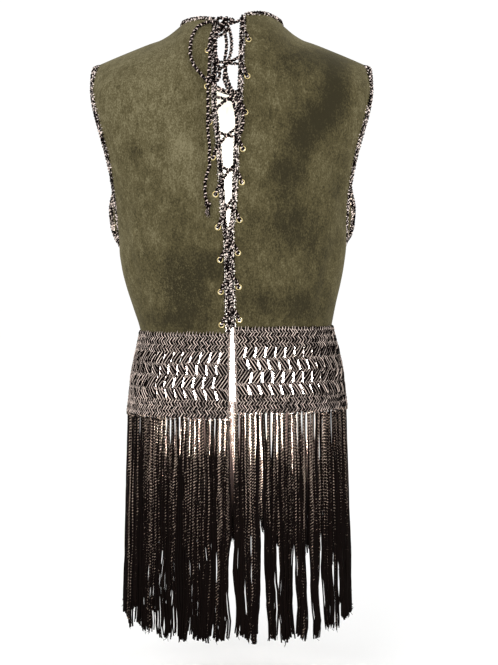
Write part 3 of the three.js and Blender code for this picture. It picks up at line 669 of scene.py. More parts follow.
def panelRows(half, side, us):
    # the panel's surface at each of its sections, for places us across it (0 middle, 1 side seam)
    facing, table, squareness = cut["facing"][half], sectionTables[half], cut["squareness"][half]
    rows = []
    for z, shift, depth, edgeX, edgeY in zip(*table.values()):
        middleX = openingX(side, z) if half == "back" else shift
        endAngle = math.acos((edgeY / depth) ** (1 / squareness))
        stretch = edgeX / math.sin(endAngle)
        startAngle = math.asin(side * (middleX - shift) / stretch)
        angle = mix(startAngle, endAngle, us)
        x = shift + side * stretch * np.sin(angle)
        y = facing * depth * np.maximum(np.cos(angle), 0) ** squareness
        rows.append(np.stack([x, y, np.full_like(us, z)], axis=1))
    last = len(rows) - 1
    top, foot = topRow(half, side, us), rows[last]
    bend = mix(foot, top, np.array(cut["upperBend"]))
    for i in range(1, cut["upperRows"] + 1):
        s = i / cut["upperRows"]
        rows.append((1 - s) ** 2 * foot + 2 * s * (1 - s) * bend + s**2 * top)
    for j, row in enumerate(rows):
        z, shift, edgeX, edgeY = [table[key][min(j, last)] for key in ("z", "shift", "edgeX", "edgeY")]
        s = max(0, (j - last) / cut["upperRows"])
        low = min(max((z - cut["liftStartZ"]) / (cut["waistZ"] - cut["liftStartZ"]), 0), 1)
        if half == "front":
            fullness = bumpAt(np.abs(row[:, 0]), 78, 46) * bumpAt(row[:, 2], -262, 58)
            row[:, 1] += 9 * fullness * (1 - us**8)
            across = np.clip((row[:, 0] - shift) / edgeX, -1, 1)
            row[:, 2] += low * cut["rightLift"] * (1 + across) / 2 * (row[:, 1] > 0)
        elif side > 0:
            near = mix((1 - us) ** 2, np.maximum(0, 1 - us / cut["neckShare"]), s)
            row[:, 2] += cut["rightLift"] * mix(near, 1, low)
        if edgeY == 0 and j < last:
            row[-1, 1] = facing * cut["seam"] / 2
    return np.array(rows)


def fineGrid(half, side, us, step):
    coarse = panelRows(half, side, us)
    t = distanceAlong(coarse[:, 0 if half == "back" else len(us) // 3])
    return smoothAlong(t, coarse, np.linspace(0, t[-1], int(t[-1] / step) + 1))


def normalsOf(grid, facing):
    normals = unit(np.cross(np.gradient(grid, axis=1), np.gradient(grid, axis=0)))
    return normals if np.mean(normals[..., 1]) * facing > 0 else -normals


# each crease: x and z of its middle, lean sideways for each mm down, half its length, width, depth
creases = {
    "back": [
        (-128, -330, 0.25, 75, 7, 1.9), (-112, -352, 0.12, 52, 5, 1.2), (-138, -262, -0.3, 48, 8, 1.7),
        (-60, -372, 0.05, 38, 6, 1.0), (-84, -120, -0.5, 62, 12, 1.3), (-34, -292, 0.35, 30, 5, 1.0),
        (132, -318, -0.22, 82, 8, 2.1), (118, -366, -0.1, 40, 5, 1.1), (146, -240, 0.3, 56, 9, 1.8),
        (66, -350, -0.12, 58, 8, 1.3), (92, -108, 0.55, 54, 11, 1.4), (28, -236, -0.4, 26, 5, 1.0),
        (44, -168, -0.7, 34, 7, 0.9),
    ],
    "front": [
        (-126, -336, 0.3, 62, 8, 1.9), (124, -328, -0.26, 70, 7, 1.7), (-74, -352, 0.1, 52, 8, 1.6),
        (78, -346, -0.14, 58, 9, 1.8), (-20, -366, 0.04, 36, 6, 1.0), (-122, -212, -0.5, 44, 9, 1.6),
        (128, -206, 0.45, 48, 8, 1.5), (26, -150, 0.3, 40, 10, 0.9),
    ],
}
# patches painted lighter or darker: mostly painted light on the upper left and painted shade on the right,
# with scuffed nap low on the left; x, z, width, height, shade
napAndShadePatches = {
    "back": [
        (112, -50, 34, 15, -0.26), (134, -88, 20, 38, -0.46), (112, -136, 28, 30, -0.38),
        (91, -165, 26, 24, -0.38), (72, -201, 26, 22, -0.3), (67, -268, 36, 46, -0.26),
        (40, -370, 30, 24, -0.24), (88, -384, 52, 22, -0.28), (141, -212, 13, 52, -0.18),
        (118, -306, 26, 50, -0.18), (44, -70, 18, 26, 0.12), (84, -66, 18, 22, -0.12),
        (66, -118, 16, 14, 0.06), (121, -197, 15, 16, 0.12), (44, -178, 18, 26, 0.06),
        (-104, -128, 70, 84, 0.2), (-46, -200, 28, 62, 0.18), (-70, -268, 46, 26, -0.1),
        (-34, -320, 34, 32, -0.34), (-56, -362, 48, 34, -0.32), (-76, -330, 24, 34, -0.16),
        (-118, -322, 22, 30, -0.16), (-88, -396, 58, 16, -0.28), (-95, -345, 11, 50, 0.1),
        (-26, -352, 6, 9, 0.34), (-122, -182, 10, 22, -0.1), (-92, -170, 8, 20, -0.12),
    ],
    "front": [
        (-80, -250, 40, 44, 0.1), (84, -256, 42, 40, 0.08), (0, -300, 26, 70, -0.1),
        (-110, -350, 34, 44, -0.08), (96, -130, 36, 44, -0.07),
    ],
}


def creaseDepth(half, x, z):
    total = np.zeros_like(x)
    for middleX, middleZ, lean, reach, width, depth in creases[half]:
        down = middleZ - z
        off = x - (middleX + lean * down)
        fade = np.clip(1 - np.abs(down) / reach, 0, 1) ** 0.8
        ridge = 0.45 * bumpAt(off, 1.9 * width, 1.1 * width)
        ridge += 0.35 * bumpAt(off, -1.9 * width, 1.1 * width)
        total += depth * fade * (ridge - bumpAt(off, 0, width))
    return total


def wearAndPaintedShade(half, x, z):
    # random nap tone, plus the painted light, painted shade and scuffed patches listed above
    shade = 0.05 * softWaves(x, z, 150, 5) + 0.02 * softWaves(x, z, 40, 6)
    for middleX, middleZ, width, height, patchShade in napAndShadePatches[half]:
        wobble = 0.25 * softWaves(x, z, 60, abs(middleX * 7 + middleZ))
        reach = ((x - middleX) / width) ** 2 + ((z - middleZ) / height) ** 2
        shade += patchShade * np.exp(-np.maximum(reach + wobble * np.sqrt(reach), 0))
    return shade


def scuffing(half, x, z):
    if half == "front":
        return 0.25 * bumpAt(x, 70, 40) * bumpAt(z, -330, 50)
    upper = 0.35 * bumpAt(x, -92, 50) * bumpAt(z, -150, 70)
    return bumpAt(x, -66, 30) * bumpAt(z, -352, 34) + upper + 0.12


panelLook = {
    "rowStep": 1.9,
    "columns": {"back": 70, "front": 56},
    "shell": 1.6,
    "calmEdge": 14,
    "overlap": {"by": 3.4, "fromZ": -395, "reach": 17},
}


def panelSurface(half, sides, seed):
    # grid of the outer face, right way round seen from outside
    t = np.linspace(0, 1, panelLook["columns"][half])
    us = 0.36 * t + 0.64 * t**2 if half == "back" else t
    grids = [fineGrid(half, side, us, panelLook["rowStep"]) for side in sides]
    if half == "back":
        grid = grids[0][:, :: sides[0]]
    else:
        rows = min(len(g) for g in grids)
        right, left = [resampleRows(g, rows) for g in grids]
        grid = np.concatenate([right[:, ::-1], left[:, 1:]], axis=1)
    normals = normalsOf(grid, cut["facing"][half])
    x, z = grid[..., 0], grid[..., 2]
    borders = (grid[:, :1], grid[:, -1:], grid[:1], grid[-1:])
    inset = np.minimum.reduce([np.linalg.norm(grid - border, axis=2) for border in borders])
    calm = np.clip(inset / panelLook["calmEdge"], 0, 1) ** 1.3
    # the neckline rises a little beside the opening and dips towards the shoulders
    near = np.clip((z + 75) / 60, 0, 1) ** 1.5
    rise = (4.2 + 0.8 * np.sign(x)) * bumpAt(np.abs(x), 45, 20)
    rise -= 3.2 * bumpAt(np.abs(x), 92, 20) + 1.2 * bumpAt(np.abs(x), 128, 22)
    z += near * rise
    # the suede's hem lies over the top of the band
    overlap = panelLook["overlap"]
    z -= overlap["by"] * np.clip((overlap["fromZ"] - z) / overlap["reach"], 0, 1) ** 2
    push = creaseDepth(half, x, z) + 0.35 * softWaves(x, z, 90, seed)
    push += 0.12 * softWaves(x, z, 26, seed + 1)
    grid = grid + normals * (push * calm)[..., None]
    return {"grid": grid, "normals": normalsOf(grid, cut["facing"][half]), "half": half}


panels = {
    "back_left": panelSurface("back", [-1], 21),
    "back_right": panelSurface("back", [1], 22),
    "front": panelSurface("front", [1, -1], 23),
}

eyelet = {
    "count": 9,
    "hole": 2.55,
    "barrel": 3.0,
    "foot": -2.4,
    "corners": 28,
    # radius and height of the rolled rim, from the hole over to the barrel's foot
    "profile": [
        (2.55, 0.7), (2.7, 1.1), (3.05, 1.35), (3.5, 1.35), (3.9, 1.1), (4.1, 0.7), (4.05, 0.35),
        (3.0, 0.3), (3.0, -2.4),
    ],
}


def centreOf(name):
    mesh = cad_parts[name].data
    points = np.empty(len(mesh.vertices) * 3)
    mesh.vertices.foreach_get("co", points)
    return points.reshape(-1, 3).mean(axis=0) / mm


def eyeletPlace(sideName, side, k):
    # where the eyelet's axis meets the suede's outer face
    name, panel = f"eyelet_{sideName}_{k + 1}", panels["back_" + sideName]
    centre = centreOf(name)
    gap = np.linalg.norm(panel["grid"] - centre, axis=2)
    j, i = np.unravel_index(np.argmin(gap), gap.shape)
    near = panel["normals"][max(j - 3, 0) : j + 4, max(i - 3, 0) : i + 4].reshape(-1, 3).mean(axis=0)
    normal = near / np.linalg.norm(near)
    point = centre + normal * np.dot(panel["grid"][j, i] - centre, normal)
    return {"name": name, "panel": "back_" + sideName, "point": point, "normal": normal}


eyeletPlaces = {}
for sideName, side in bothSides:
    for k in range(eyelet["count"]):
        eyeletPlaces[side, k] = eyeletPlace(sideName, side, k)


def makePanel(name):
    panel = panels[name]
    x, z = panel["grid"][..., 0], panel["grid"][..., 2]
    rows, columns = x.shape
    points = panel["grid"].copy().reshape(-1, 3)
    j, i = np.meshgrid(np.arange(rows - 1), np.arange(columns - 1), indexing="ij")
    a = (j * columns + i).ravel()
    quads = np.stack([a, a + 1, a + columns + 1, a + columns], axis=1)
    centres = points[quads].mean(axis=1)
    keep = np.ones(len(quads), bool)
    for place in eyeletPlaces.values():
        if place["panel"] != name:
            continue
        # the hole's edge is drawn in round the barrel
        out = np.linalg.norm(centres - place["point"], axis=1) < eyelet["barrel"]
        keep &= ~out
        rim = np.intersect1d(quads[out].ravel(), quads[~out].ravel())
        arm = points[rim] - place["point"]
        arm -= (arm @ place["normal"])[:, None] * place["normal"]
        points[rim] = points[rim] - arm + unit(arm) * (eyelet["barrel"] + 0.15)
    quads = quads[keep]
    # the outer face looks the way its normals do
    a, b, _, d = points[quads[0]]
    if np.cross(b - a, d - a) @ panel["normals"][0, 0] < 0:
        quads = quads[:, ::-1]
    piece = meshObject(name + "_suede", points, quads.tolist(), suede)
    # scuffed nap together with painted light and shade, as one colour attribute
    floatAttribute(piece, "wearAndShade", wearAndPaintedShade(panel["half"], x, z))
    floatAttribute(piece, "scuff", scuffing(panel["half"], x, z))
    editMesh(piece, "delete_loose", use_verts=True, use_edges=True, use_faces=False)
    clothWall(piece, panelLook["shell"], suedeInside)
    declare(piece, name)


makePanel("back_left")
makePanel("back_right")
makePanel("front")
print("suede panels cut and shaped")


# ---- eyelets ----
def modelEyelet():
    # a rolled brass rim on a short barrel, along +Z, its wall's outer face at zero
    radius, height = eyelet["hole"] * mm, eyelet["foot"] * mm
    bpy.ops.mesh.primitive_circle_add(vertices=eyelet["corners"], radius=radius, location=(0, 0, height))
    model = bpy.context.object
    bpy.ops.object.mode_set(mode="EDIT")
    bpy.ops.mesh.select_all(action="SELECT")
    for r, z in eyelet["profile"]:
        bpy.ops.mesh.extrude_edges_move()
        bpy.ops.transform.resize(value=(r * mm / radius, r * mm / radius, 1))
        bpy.ops.transform.translate(value=(0, 0, z * mm - height))
        radius, height = r * mm, z * mm
    bpy.ops.mesh.select_all(action="SELECT")
    bpy.ops.mesh.remove_doubles(threshold=1e-6)
    bpy.ops.mesh.select_all(action="DESELECT")
    bpy.ops.mesh.select_non_manifold()
    bpy.ops.mesh.bridge_edge_loops()
    bpy.ops.mesh.select_all(action="SELECT")
    bpy.ops.mesh.normals_make_consistent(inside=False)
    bpy.ops.object.mode_set(mode="OBJECT")
    bpy.ops.object.shade_smooth()
    model.data.materials.append(brass)
    return model


model = modelEyelet()
for place in eyeletPlaces.values():
    mesh = model.data.copy()
    turn = Vector((0, 0, 1)).rotation_difference(Vector(place["normal"])).to_matrix().to_4x4()
    mesh.transform(Matrix.Translation(model.location))
    mesh.transform(Matrix.Translation(Vector(place["point"] * mm)) @ turn)
    ring = bpy.data.objects.new(place["name"] + "_ring", mesh)
    bpy.context.collection.objects.link(ring)
    declare(ring, place["name"])
bpy.data.objects.remove(model)
print("eyelets set")


# ---- lace ----
edging = {
    "pitch": 4.3,
    "width": 5.6,
    "thick": 4.2,
    "yarn": 0.9,
    "coreThick": 1.35,
    "coreShift": 1.1,
    "linePoints": 4,  # in each stitch
}
lacing = {
    "radius": 1.75,
    "rise": 14.0,
    "crossing": 2.8,
    "starts": {
        -1: [[-7.5, -69, -18.5], [-7, -67.5, -23]],
        1: [[-3, -71.5, -13], [7, -76, -11]],
    },
    "plyRadius": 1.32,
    "plyOffset": 1.1,
    "held": 0.95,  # the lace is drawn thinner where it is pulled tight
    "twist": 9.4,
    "step": 1.2,
    "across": 0.0048,  # both plies, in metres
}
laceOver = edging["thick"] / 2 + lacing["radius"] + 0.5
laceUnder = laceOver + 0.5
# at each eyelet: height off the wall, reach inward, and how far above the eyelet
bends = ((laceOver, 3.0, 7.5), (laceOver - 0.4, 1.4, 2.4), (3.0, 0.5, None), (-3.3, 0.1, None))


def openingEdge(side, z):
    panel = panels["back_left" if side < 0 else "back_right"]
    column = -1 if side < 0 else 0
    line, normals = panel["grid"][:, column], panel["normals"][:, column]
    normal = valuesAt(z, line[:, 2], normals)
    return valuesAt(z, line[:, 2], line), normal / np.linalg.norm(normal)


def offWall(point, normal, height):
    return point + normal * (height - cut["wall"] / 2)


def overEdging(side, z, height):
    inward = np.array([side * (cut["seam"] + edging["width"] / 2), 0, 0])
    return offWall(*openingEdge(side, z), height) - inward


def gapMiddle(z):
    return (offWall(*openingEdge(-1, z), 0) + offWall(*openingEdge(1, z), 0)) / 2


def lacingRoute(firstSide):
    # in and out of the eyelets from the top down, from side to side
    route = [np.array(p, float) for p in lacing["starts"][firstSide]]
    side = firstSide
    for k in range(eyelet["count"]):
        place = eyeletPlaces[side, k]
        z = place["point"][2]
        inward = np.array([-side, 0, 0])
        if k == 0 and side > 0:
            route.append(overEdging(side, z + 25, laceOver + 0.6))
        route.append(overEdging(side, z + lacing["rise"], laceOver + 0.3))
        for height, reach, above in bends:
            point = offWall(place["point"], place["normal"], height) + inward * reach
            if above is not None:
                point[2] = z + above
            route.append(point)
        otherZ = eyeletPlaces[-side, min(k + 1, eyelet["count"] - 1)]["point"][2]
        crossZ = (z + otherZ) / 2
        if k == eyelet["count"] - 1:
            end = gapMiddle(crossZ) + np.array([2 * side * cut["seam"], laceUnder, 0])
            return route + [overEdging(side, crossZ, -laceUnder), end]
        crossing = gapMiddle(crossZ)
        crossing[1] += firstSide * (-1 if k % 2 else 1) * lacing["crossing"]
        route += [overEdging(side, mix(z, crossZ, 0.6), -laceUnder), crossing]
        side = -side


for name, firstSide in (("lace_left", -1), ("lace_right", 1)):
    yarn = newYarn()
    line = smoothLine(lacingRoute(firstSide), lacing["step"])
    addTwist(yarn, line, lacing["plyRadius"] * lacing["held"], lacing["plyOffset"] * lacing["held"])
    yarnObject(yarn, name + "_cord", yarns["lacingYarn"], name)

freeCords = {
    "lace_loop_left": [
        [-15, -71.5, -12.5], [-19.5, -72.5, -11.5], [-24, -73, -10.5], [-33.4, -67, -10.5],
        [-43.7, -69, -16.6], [-49.9, -75.5, -28.8], [-52.2, -83, -42.2], [-51.8, -90, -56.5],
        [-47.7, -95.5, -69], [-41.2, -99.5, -78.5], [-32.1, -104, -89.3], [-23, -106.5, -94.9],
        [-15.6, -107, -89.3], [-14.3, -106, -80], [-17, -104, -67], [-19.5, -100.5, -55],
        [-20.5, -95, -41], [-17.8, -89.5, -27.5], [-13, -79.5, -16.5], [-11.5, -76, -15],
    ],
    "lace_loop_gap": [
        [-8, -74, -19], [-8.5, -77, -22.5], [-6.5, -87, -33], [-5.5, -95, -43], [-6, -101, -54],
        [-7.5, -105, -64], [-7, -107.5, -75], [-5, -109.5, -87], [-1, -111.5, -99],
        [4.5, -113, -109.5], [10.5, -114, -120], [14.5, -114.5, -131], [15.5, -115, -144],
        [14, -115, -155], [10.8, -115, -160.5], [8, -115, -154], [7.5, -115, -141],
        [5, -114.5, -127], [1, -114, -114.5], [-4, -113.5, -102.5], [-8.5, -113, -90],
        [-6, -112.5, -75], [-2, -108.5, -63.5], [0.5, -104, -53.5], [1, -98, -42],
        [-0.2, -89, -31], [-2.5, -78.5, -20.5], [-4.5, -75, -17],
    ],
    "lace_tail": [
        [-12.2, -72, -18.5], [-13.8, -75, -23], [-18, -81, -25.3], [-23.3, -86, -27], [-26, -92, -35],
        [-27, -99, -48], [-26.5, -103, -61.5], [-27.5, -108, -77.5], [-28.3, -112, -93],
        [-28.8, -112, -112], [-28.8, -112, -130], [-29.2, -112.3, -148], [-28.2, -112.5, -163],
        [-26.8, -112.5, -176], [-27.3, -112.5, -189], [-27, -112, -200.5], [-30, -110.5, -209.5],
        [-32.3, -109, -219.5], [-33, -107.5, -231], [-31.5, -106.6, -242.5], [-30.2, -106.6, -246.5],
    ],
}
knots = {
    "lace_knot": {"middle": [-8, -72, -12], "size": [11.6, 5.0, 9.2], "radius": 1.35},
    "lace_end_knot": {"middle": [-29.2, -107, -249.5], "size": [3.6, 2.4, 4.4], "radius": 1.0},
}
knotHair = {
    "count": 26,
    "from": [0, 0, -3.5],
    "across": (0, 2.3),
    "out": (-0.3, 1.0),
    "down": (7, 13.5),
    "curl": (1.0, 0.6),
    "bends": 1.0,
    "radius": (0.42, 0.2),
    "points": 6,
    "up": [0.2, 1, 0.1],
}


def knotLine(middle, size):
    # a cord wound through itself, as a tied knot is
    t = np.linspace(0, 2 * np.pi * 0.985, 90)
    x, z = np.sin(t) + 1.6 * np.sin(2 * t), np.cos(t) - 1.6 * np.cos(2 * t)
    line = np.stack([x, -np.sin(3 * t), z], axis=1) * np.array(size) / np.array([2.6, 1.0, 2.6])
    return evenly(line + middle, 1.0)


def knotWrap(middle):
    # the turn that holds the bow together
    t = np.linspace(0, 2 * np.pi, 40)
    wrap = np.stack([2.2 * np.sin(t), 6.0 * np.cos(t), 7.4 * np.sin(t) + 1.6 * np.cos(t)], axis=1)
    return evenly(middle + wrap, 1.0)


for name, spec in knots.items():
    yarn = newYarn()
    middle = np.array(spec["middle"])
    addTwist(yarn, knotLine(middle, spec["size"]), spec["radius"], 0.88 * spec["radius"])
    if name == "lace_knot":
        addTwist(yarn, knotWrap(middle), 1.15, 1.0)
    else:
        addHairs(yarn, rng, np.tile(middle + knotHair["from"], (knotHair["count"], 1)), knotHair)
    yarnObject(yarn, name + "_tied", yarns["knotYarn"], name)

for name, points in freeCords.items():
    line = smoothLine(points, lacing["step"])
    yarn = newYarn()
    addTwist(yarn, line, lacing["plyRadius"], lacing["plyOffset"], 7)
    piece = yarnObject(yarn, name + "_cord", yarns["lacingYarn"], name)


# ---- crochet edgings ----
def edgeLine(points, normals, closed, hint):
    # frames along a panel's edge: place, normal, direction away from the panel
    along = np.gradient(points, axis=0)
    if closed:
        along = (np.roll(points, -1, axis=0) - np.roll(points, 1, axis=0)) / 2
    away = unit(np.cross(along, normals))
    if np.mean(np.sum(away * hint(points), axis=1)) < 0:
        away = -away
    middle = points - normals * cut["wall"] / 2 + away * (cut["seam"] + edging["width"] / 2)
    data = evenly(np.hstack([middle, normals, away]), edging["pitch"] / edging["linePoints"], closed)
    return data[:, :3], unit(data[:, 3:6]), unit(data[:, 6:9])


def edgingStitches(yarn, place, normal, away, closed, wide, reach):
    per = edging["linePoints"]
    total = len(place)
    span = np.arange(total // per) * per

    def at(offset, acrossMm, outMm):
        index = span[:, None] + np.multiply(offset, per)
        if not closed:
            index = np.clip(index, 0, total - 1)
        low = np.floor(index).astype(int)
        if not closed:
            low = np.minimum(low, total - 2)
        part = (index - low)[..., None]
        low, high = low % total, (low + 1) % total
        point = place[low] * (1 - part) + place[high] * part
        jitter = rng.normal(0, 0.12, (len(span), 1, 3))
        aside = away[low] * np.asarray(acrossMm)[None, :, None]
        out = normal[low] * np.asarray(outMm)[None, :, None]
        return point + aside + out + jitter, normal[low]

    r, w = edging["yarn"], wide
    forward = [-0.55, -0.1, 0.35, 0.75]
    # the legs of each stitch: along the edge, away from the panel, off its face
    legs = [
        (forward, [-2.5 * w, -1.8 * w, -0.8, 0.1], [0.7, 1.8, 2.0, 0.9]),
        (forward, [2.5 * w, 1.8 * w, 0.8, 0.0], [0.5, 1.7, 1.9, 0.8]),
        (forward, [-2.3, -1.6, -0.7, 0.1], [-0.7, -1.7, -1.8, -0.9]),
        (forward, [2.4, 1.7, 0.8, 0.0], [-0.5, -1.6, -1.7, -0.8]),
        ([-0.5, -0.15, 0.2, 0.55], [2.2 * w, 3.3 * w, 3.3 * w, 2.2 * w], [0.9, 0.5, -0.5, -0.9]),
    ]
    for offset, across, out in legs:
        paths, n = at(offset, across, out)
        addTubes(yarn, paths, [r * 0.8, r, r, r * 0.75], n)
    # stitches taken over the suede's edge
    across = [-1.8, -3.2, -2.9 - 0.6 * reach, -2.9 - reach]
    paths, n = at([0.0, 0.05, 0.1, 0.15], across, [1.5, 1.85, 1.5, 0.5])
    up = np.cross(away[span], normal[span])[:, None]
    addTubes(yarn, paths, [r * 0.8, r * 0.8, r * 0.75, r * 0.5], up)
    # core that fills the chain
    if closed:
        place, normal, away = [np.vstack([line, line[:1]]) for line in (place, normal, away)]
    for shift in (-edging["coreShift"], edging["coreShift"]):
        core = (place + away * shift)[None]
        addTubes(yarn, core, edging["coreThick"], normal[None], 6, capped=not closed)


def makeEdging(name, points, normals, closed, hint, wide=1.0, reach=2.0):
    yarn = newYarn()
    edgingStitches(yarn, *edgeLine(points, normals, closed, hint), closed, wide, reach)
    yarnObject(yarn, name + "_stitches", yarns["edgingYarn"], name)


def armholeLine(sideName, side):
    # up the back from the underarm and down the front
    back, front = panels["back_" + sideName], panels["front"]
    backColumn, frontColumn = (0, -1) if side < 0 else (-1, 0)
    backZ = back["grid"][:, backColumn, 2]
    frontZ = front["grid"][:, frontColumn, 2]
    start = int(np.argmin(np.abs(backZ - cut["underarmZ"][side])))
    frontStart = int(np.argmin(np.abs(frontZ - backZ[start])))
    lines = []
    for key in ("grid", "normals"):
        up, down = back[key][start:, backColumn], front[key][frontStart:, frontColumn][::-1]
        lines.append(np.vstack([up, down[1:-1]]))
    return lines[0], smoothRing(lines[1])


def neckLine():
    # all round the neck, from the left edge of the opening to the right one
    lines = []
    for name in ("back_left", "front", "back_right"):
        panel = panels[name]
        columns = np.where(np.abs(panel["grid"][-1, :, 0]) <= cut["neckHalfWidth"] + 0.5)[0][::-1]
        lines.append((panel["grid"][-1, columns], panel["normals"][-1, columns]))
    points, normals = [np.vstack(parts) for parts in zip(*lines)]
    for _ in range(5):
        normals[1:-1] = (normals[:-2] + 2 * normals[1:-1] + normals[2:]) / 4
    return points, unit(normals)


for sideName, side in bothSides:
    points, normals = armholeLine(sideName, side)
    centre = points.mean(axis=0)
    makeEdging(f"armhole_trim_{sideName}", points, normals, True, lambda p: centre - p, wide=1.5, reach=4.2)

neckCentre = np.array([0, 8, 60])
makeEdging("neck_trim", *neckLine(), False, lambda p: neckCentre - p, wide=1.15, reach=3.0)

for sideName, side in bothSides:
    edge = [panels["back_" + sideName][key][:, -1 if side < 0 else 0] for key in ("grid", "normals")]
    makeEdging(f"opening_trim_{sideName}", *edge, False, lambda p: np.tile([-side, 0, 0], (len(p), 1)))
print("edgings crocheted")


# ---- hip band ----
band = {
    "height": 108.0,
    "shell": 1.3,
    "slitMargin": 12.0,
    "frontMargin": 6.0,
    "holes": 27,
    "slitEdge": 2.0,
    "slotShare": {-1: 0.74, 1: 0.86},
    "strandSlope": 0.85,
    "strandPitch": 4.3,
    "rows": [
        {"top": 26, "foot": 39, "lean": 3.2, "phase": 0, "wide": 2.3},
        {"top": 42, "foot": 54.5, "lean": -1.8, "phase": 0.5, "wide": 2.9},
        {"top": 57.5, "foot": 71, "lean": 2, "phase": 1, "wide": 3.3},
        {"top": 74, "foot": 86, "lean": -3.6, "phase": 0.5, "wide": 2.9},
    ],
    "yarn": 1.22,
    "edgePitch": 3.4,
    "waistPitch": 4.4,
    # drops that part the plain rows above and below the holes
    "upperRows": [2.8, 7.4, 12.0, 16.6, 21.0, 25.4],
    "lowerRows": [90.0, 94.6, 99.2, 103.8, 108.0],
    "lastFoot": 90.5,
}
bandTable = {
    "drop": [0, 28, 56, 84, 108, 400],
    "back": [88.5, 97, 106, 112, 117, 123],
    "front": [92.5, 97, 103, 107, 112, 118],
    "halfWidth": [129.5, 136, 142, 145, 148, 155],
    "shift": [6, 6.5, 6.8, 7, 7, 8],
    -1: [0.5, 0.2, -0.1, -0.3, -0.4, -2],
    1: [1.9, 2.8, 3.6, 4.2, 4.5, 5],
}
bandStep = 4.0
bandDrops = np.arange(0, 125, bandStep)
bandMiddle = np.array([7, 0, 0])


def bandRow(side, drop, count=400):
    # half of the hip's outline at a drop below the waist, and its length
    row = {key: np.interp(drop, bandTable["drop"], bandTable[key]) for key in bandTable}
    start = math.asin(side * (row[side] - row["shift"]) / row["halfWidth"])
    angle = np.linspace(start, math.pi, count + 1)
    cosine = np.cos(angle)
    y = np.where(
        cosine > 0,
        -row["back"] * np.abs(cosine) ** cut["squareness"]["back"],
        row["front"] * np.abs(cosine) ** cut["squareness"]["front"],
    )
    x = row["shift"] + side * row["halfWidth"] * np.sin(angle)
    across = np.clip((x - row["shift"]) / row["halfWidth"], -1, 1)
    lift = np.where(y > 0, cut["rightLift"] * (1 + across) / 2, cut["rightLift"] if side > 0 else 0)
    points = np.stack([x, y, cut["waistZ"] - cut["seam"] - drop + lift], axis=1)
    lengths = distanceAlong(points)
    return valuesAt(np.linspace(0, lengths[-1], count + 1), lengths, points), lengths[-1]


def surfaceOf(side):
    rows = [bandRow(side, d) for d in bandDrops]
    grid = np.array([r[0] for r in rows])
    normals = np.cross(np.gradient(grid, axis=1), np.gradient(grid, axis=0))
    normals[..., 2] = 0
    normals = unit(normals)
    if np.mean(np.sum(normals * (grid - bandMiddle), axis=2)) < 0:
        normals = -normals
    return {"grid": grid, "normals": normals, "total": np.array([r[1] for r in rows])}


bandSurface = {side: surfaceOf(side) for side in (-1, 1)}


def onBand(side, distance, drop, out):
    # points on the band: distance from the slit, drop below the waist and height off it, in mm
    distance, drop, out = np.broadcast_arrays(distance, drop, out)
    j = np.clip(drop / bandStep, 0, len(bandDrops) - 1.001)
    i = np.clip(distance / bandTotal(side, drop), 0, 1) * (bandSurface[side]["grid"].shape[1] - 1.001)
    j0, i0 = j.astype(int), i.astype(int)
    fj, fi = (j - j0)[..., None], (i - i0)[..., None]

    def blend(a):
        upper = a[j0, i0] * (1 - fi) + a[j0, i0 + 1] * fi
        return upper * (1 - fj) + (a[j0 + 1, i0] * (1 - fi) + a[j0 + 1, i0 + 1] * fi) * fj

    normal = unit(blend(bandSurface[side]["normals"]))
    above = np.maximum(-drop, 0)[..., None] * np.array([0, 0, 1])
    return blend(bandSurface[side]["grid"]) + normal * out[..., None] + above, normal


def bandTotal(side, drop):
    return np.interp(drop, bandDrops, bandSurface[side]["total"])


def holeMiddle(side, drop, k, phase, lean):
    pitch = (bandTotal(side, drop) - band["slitMargin"] - band["frontMargin"]) / (band["holes"] + 0.5)
    return band["slitMargin"] + pitch * (k + 0.25 + phase / 2) + side * lean


def bandGround(side, name):
    # the wall between the slots, from edge to edge of each
    levels = [(0, 0, 0, 1)]
    for row in band["rows"]:
        half = row["wide"] / 2 * band["slotShare"][side]
        levels.append((row["top"], row["lean"] / 2, row["phase"], half))
        levels.append((row["foot"], -row["lean"] / 2, row["phase"], half))
    levels.append((band["height"], 0, 0.5, 1))
    parts = 2  # columns between two edges, so that the wall follows the curve
    points, faces = [], []
    for drop, lean, phase, half in levels:
        edges = [band["slitEdge"] - 0.8]
        for k in range(band["holes"]):
            middle = holeMiddle(side, drop, k, phase, lean)
            edges += [middle - half, middle + half]
        edges.append(bandTotal(side, drop))
        distance = np.interp(np.arange(parts * (len(edges) - 1) + 1) / parts, np.arange(len(edges)), edges)
        points.append(onBand(side, distance, drop, -0.9)[0])
    columns = len(distance)
    for j in range(len(levels) - 1):
        for i in range(columns - 1):
            if j % 2 == 1 and (i // parts) % 2 == 1:
                continue
            a = j * columns + i
            quad = [a, a + 1, a + columns + 1, a + columns]
            faces.append(quad if side < 0 else quad[::-1])
    piece = meshObject(name + "_ground", np.vstack(points), faces, shadedCrochetGround)
    editMesh(piece, "normals_make_consistent", inside=False)
    face = piece.data.polygons[0]
    if face.normal @ Vector((face.center.x - bandMiddle[0] * mm, face.center.y, 0)) < 0:
        piece.data.flip_normals()
    clothWall(piece, band["shell"], crochetInside)
    return piece


def chevronRow(yarn, side, top, foot, slant, pitch=4.2, radius=band["yarn"], out=0.35):
    # slanted stitches side by side along one row, all round
    total = bandTotal(side, (top + foot) / 2)
    count = int(total / pitch)
    s = (np.arange(count) + rng.uniform(0, 1)) * total / count + rng.normal(0, 0.3, count)
    t = np.linspace(0, 1, 4)
    distance = s[:, None] + side * slant * (0.5 - t)[None, :]
    drop = mix(top - 0.3, foot + 0.3, t)[None, :] + rng.normal(0, 0.15, (count, 1))
    arch = out + 0.6 * np.sin(np.pi * t)[None, :] + rng.normal(0, 0.1, (count, 1))
    paths, normals = onBand(side, np.clip(distance, band["slitEdge"], total - 0.6), drop, arch)
    addTubes(yarn, paths, radius * np.array([0.8, 1, 1, 0.8]), normals)


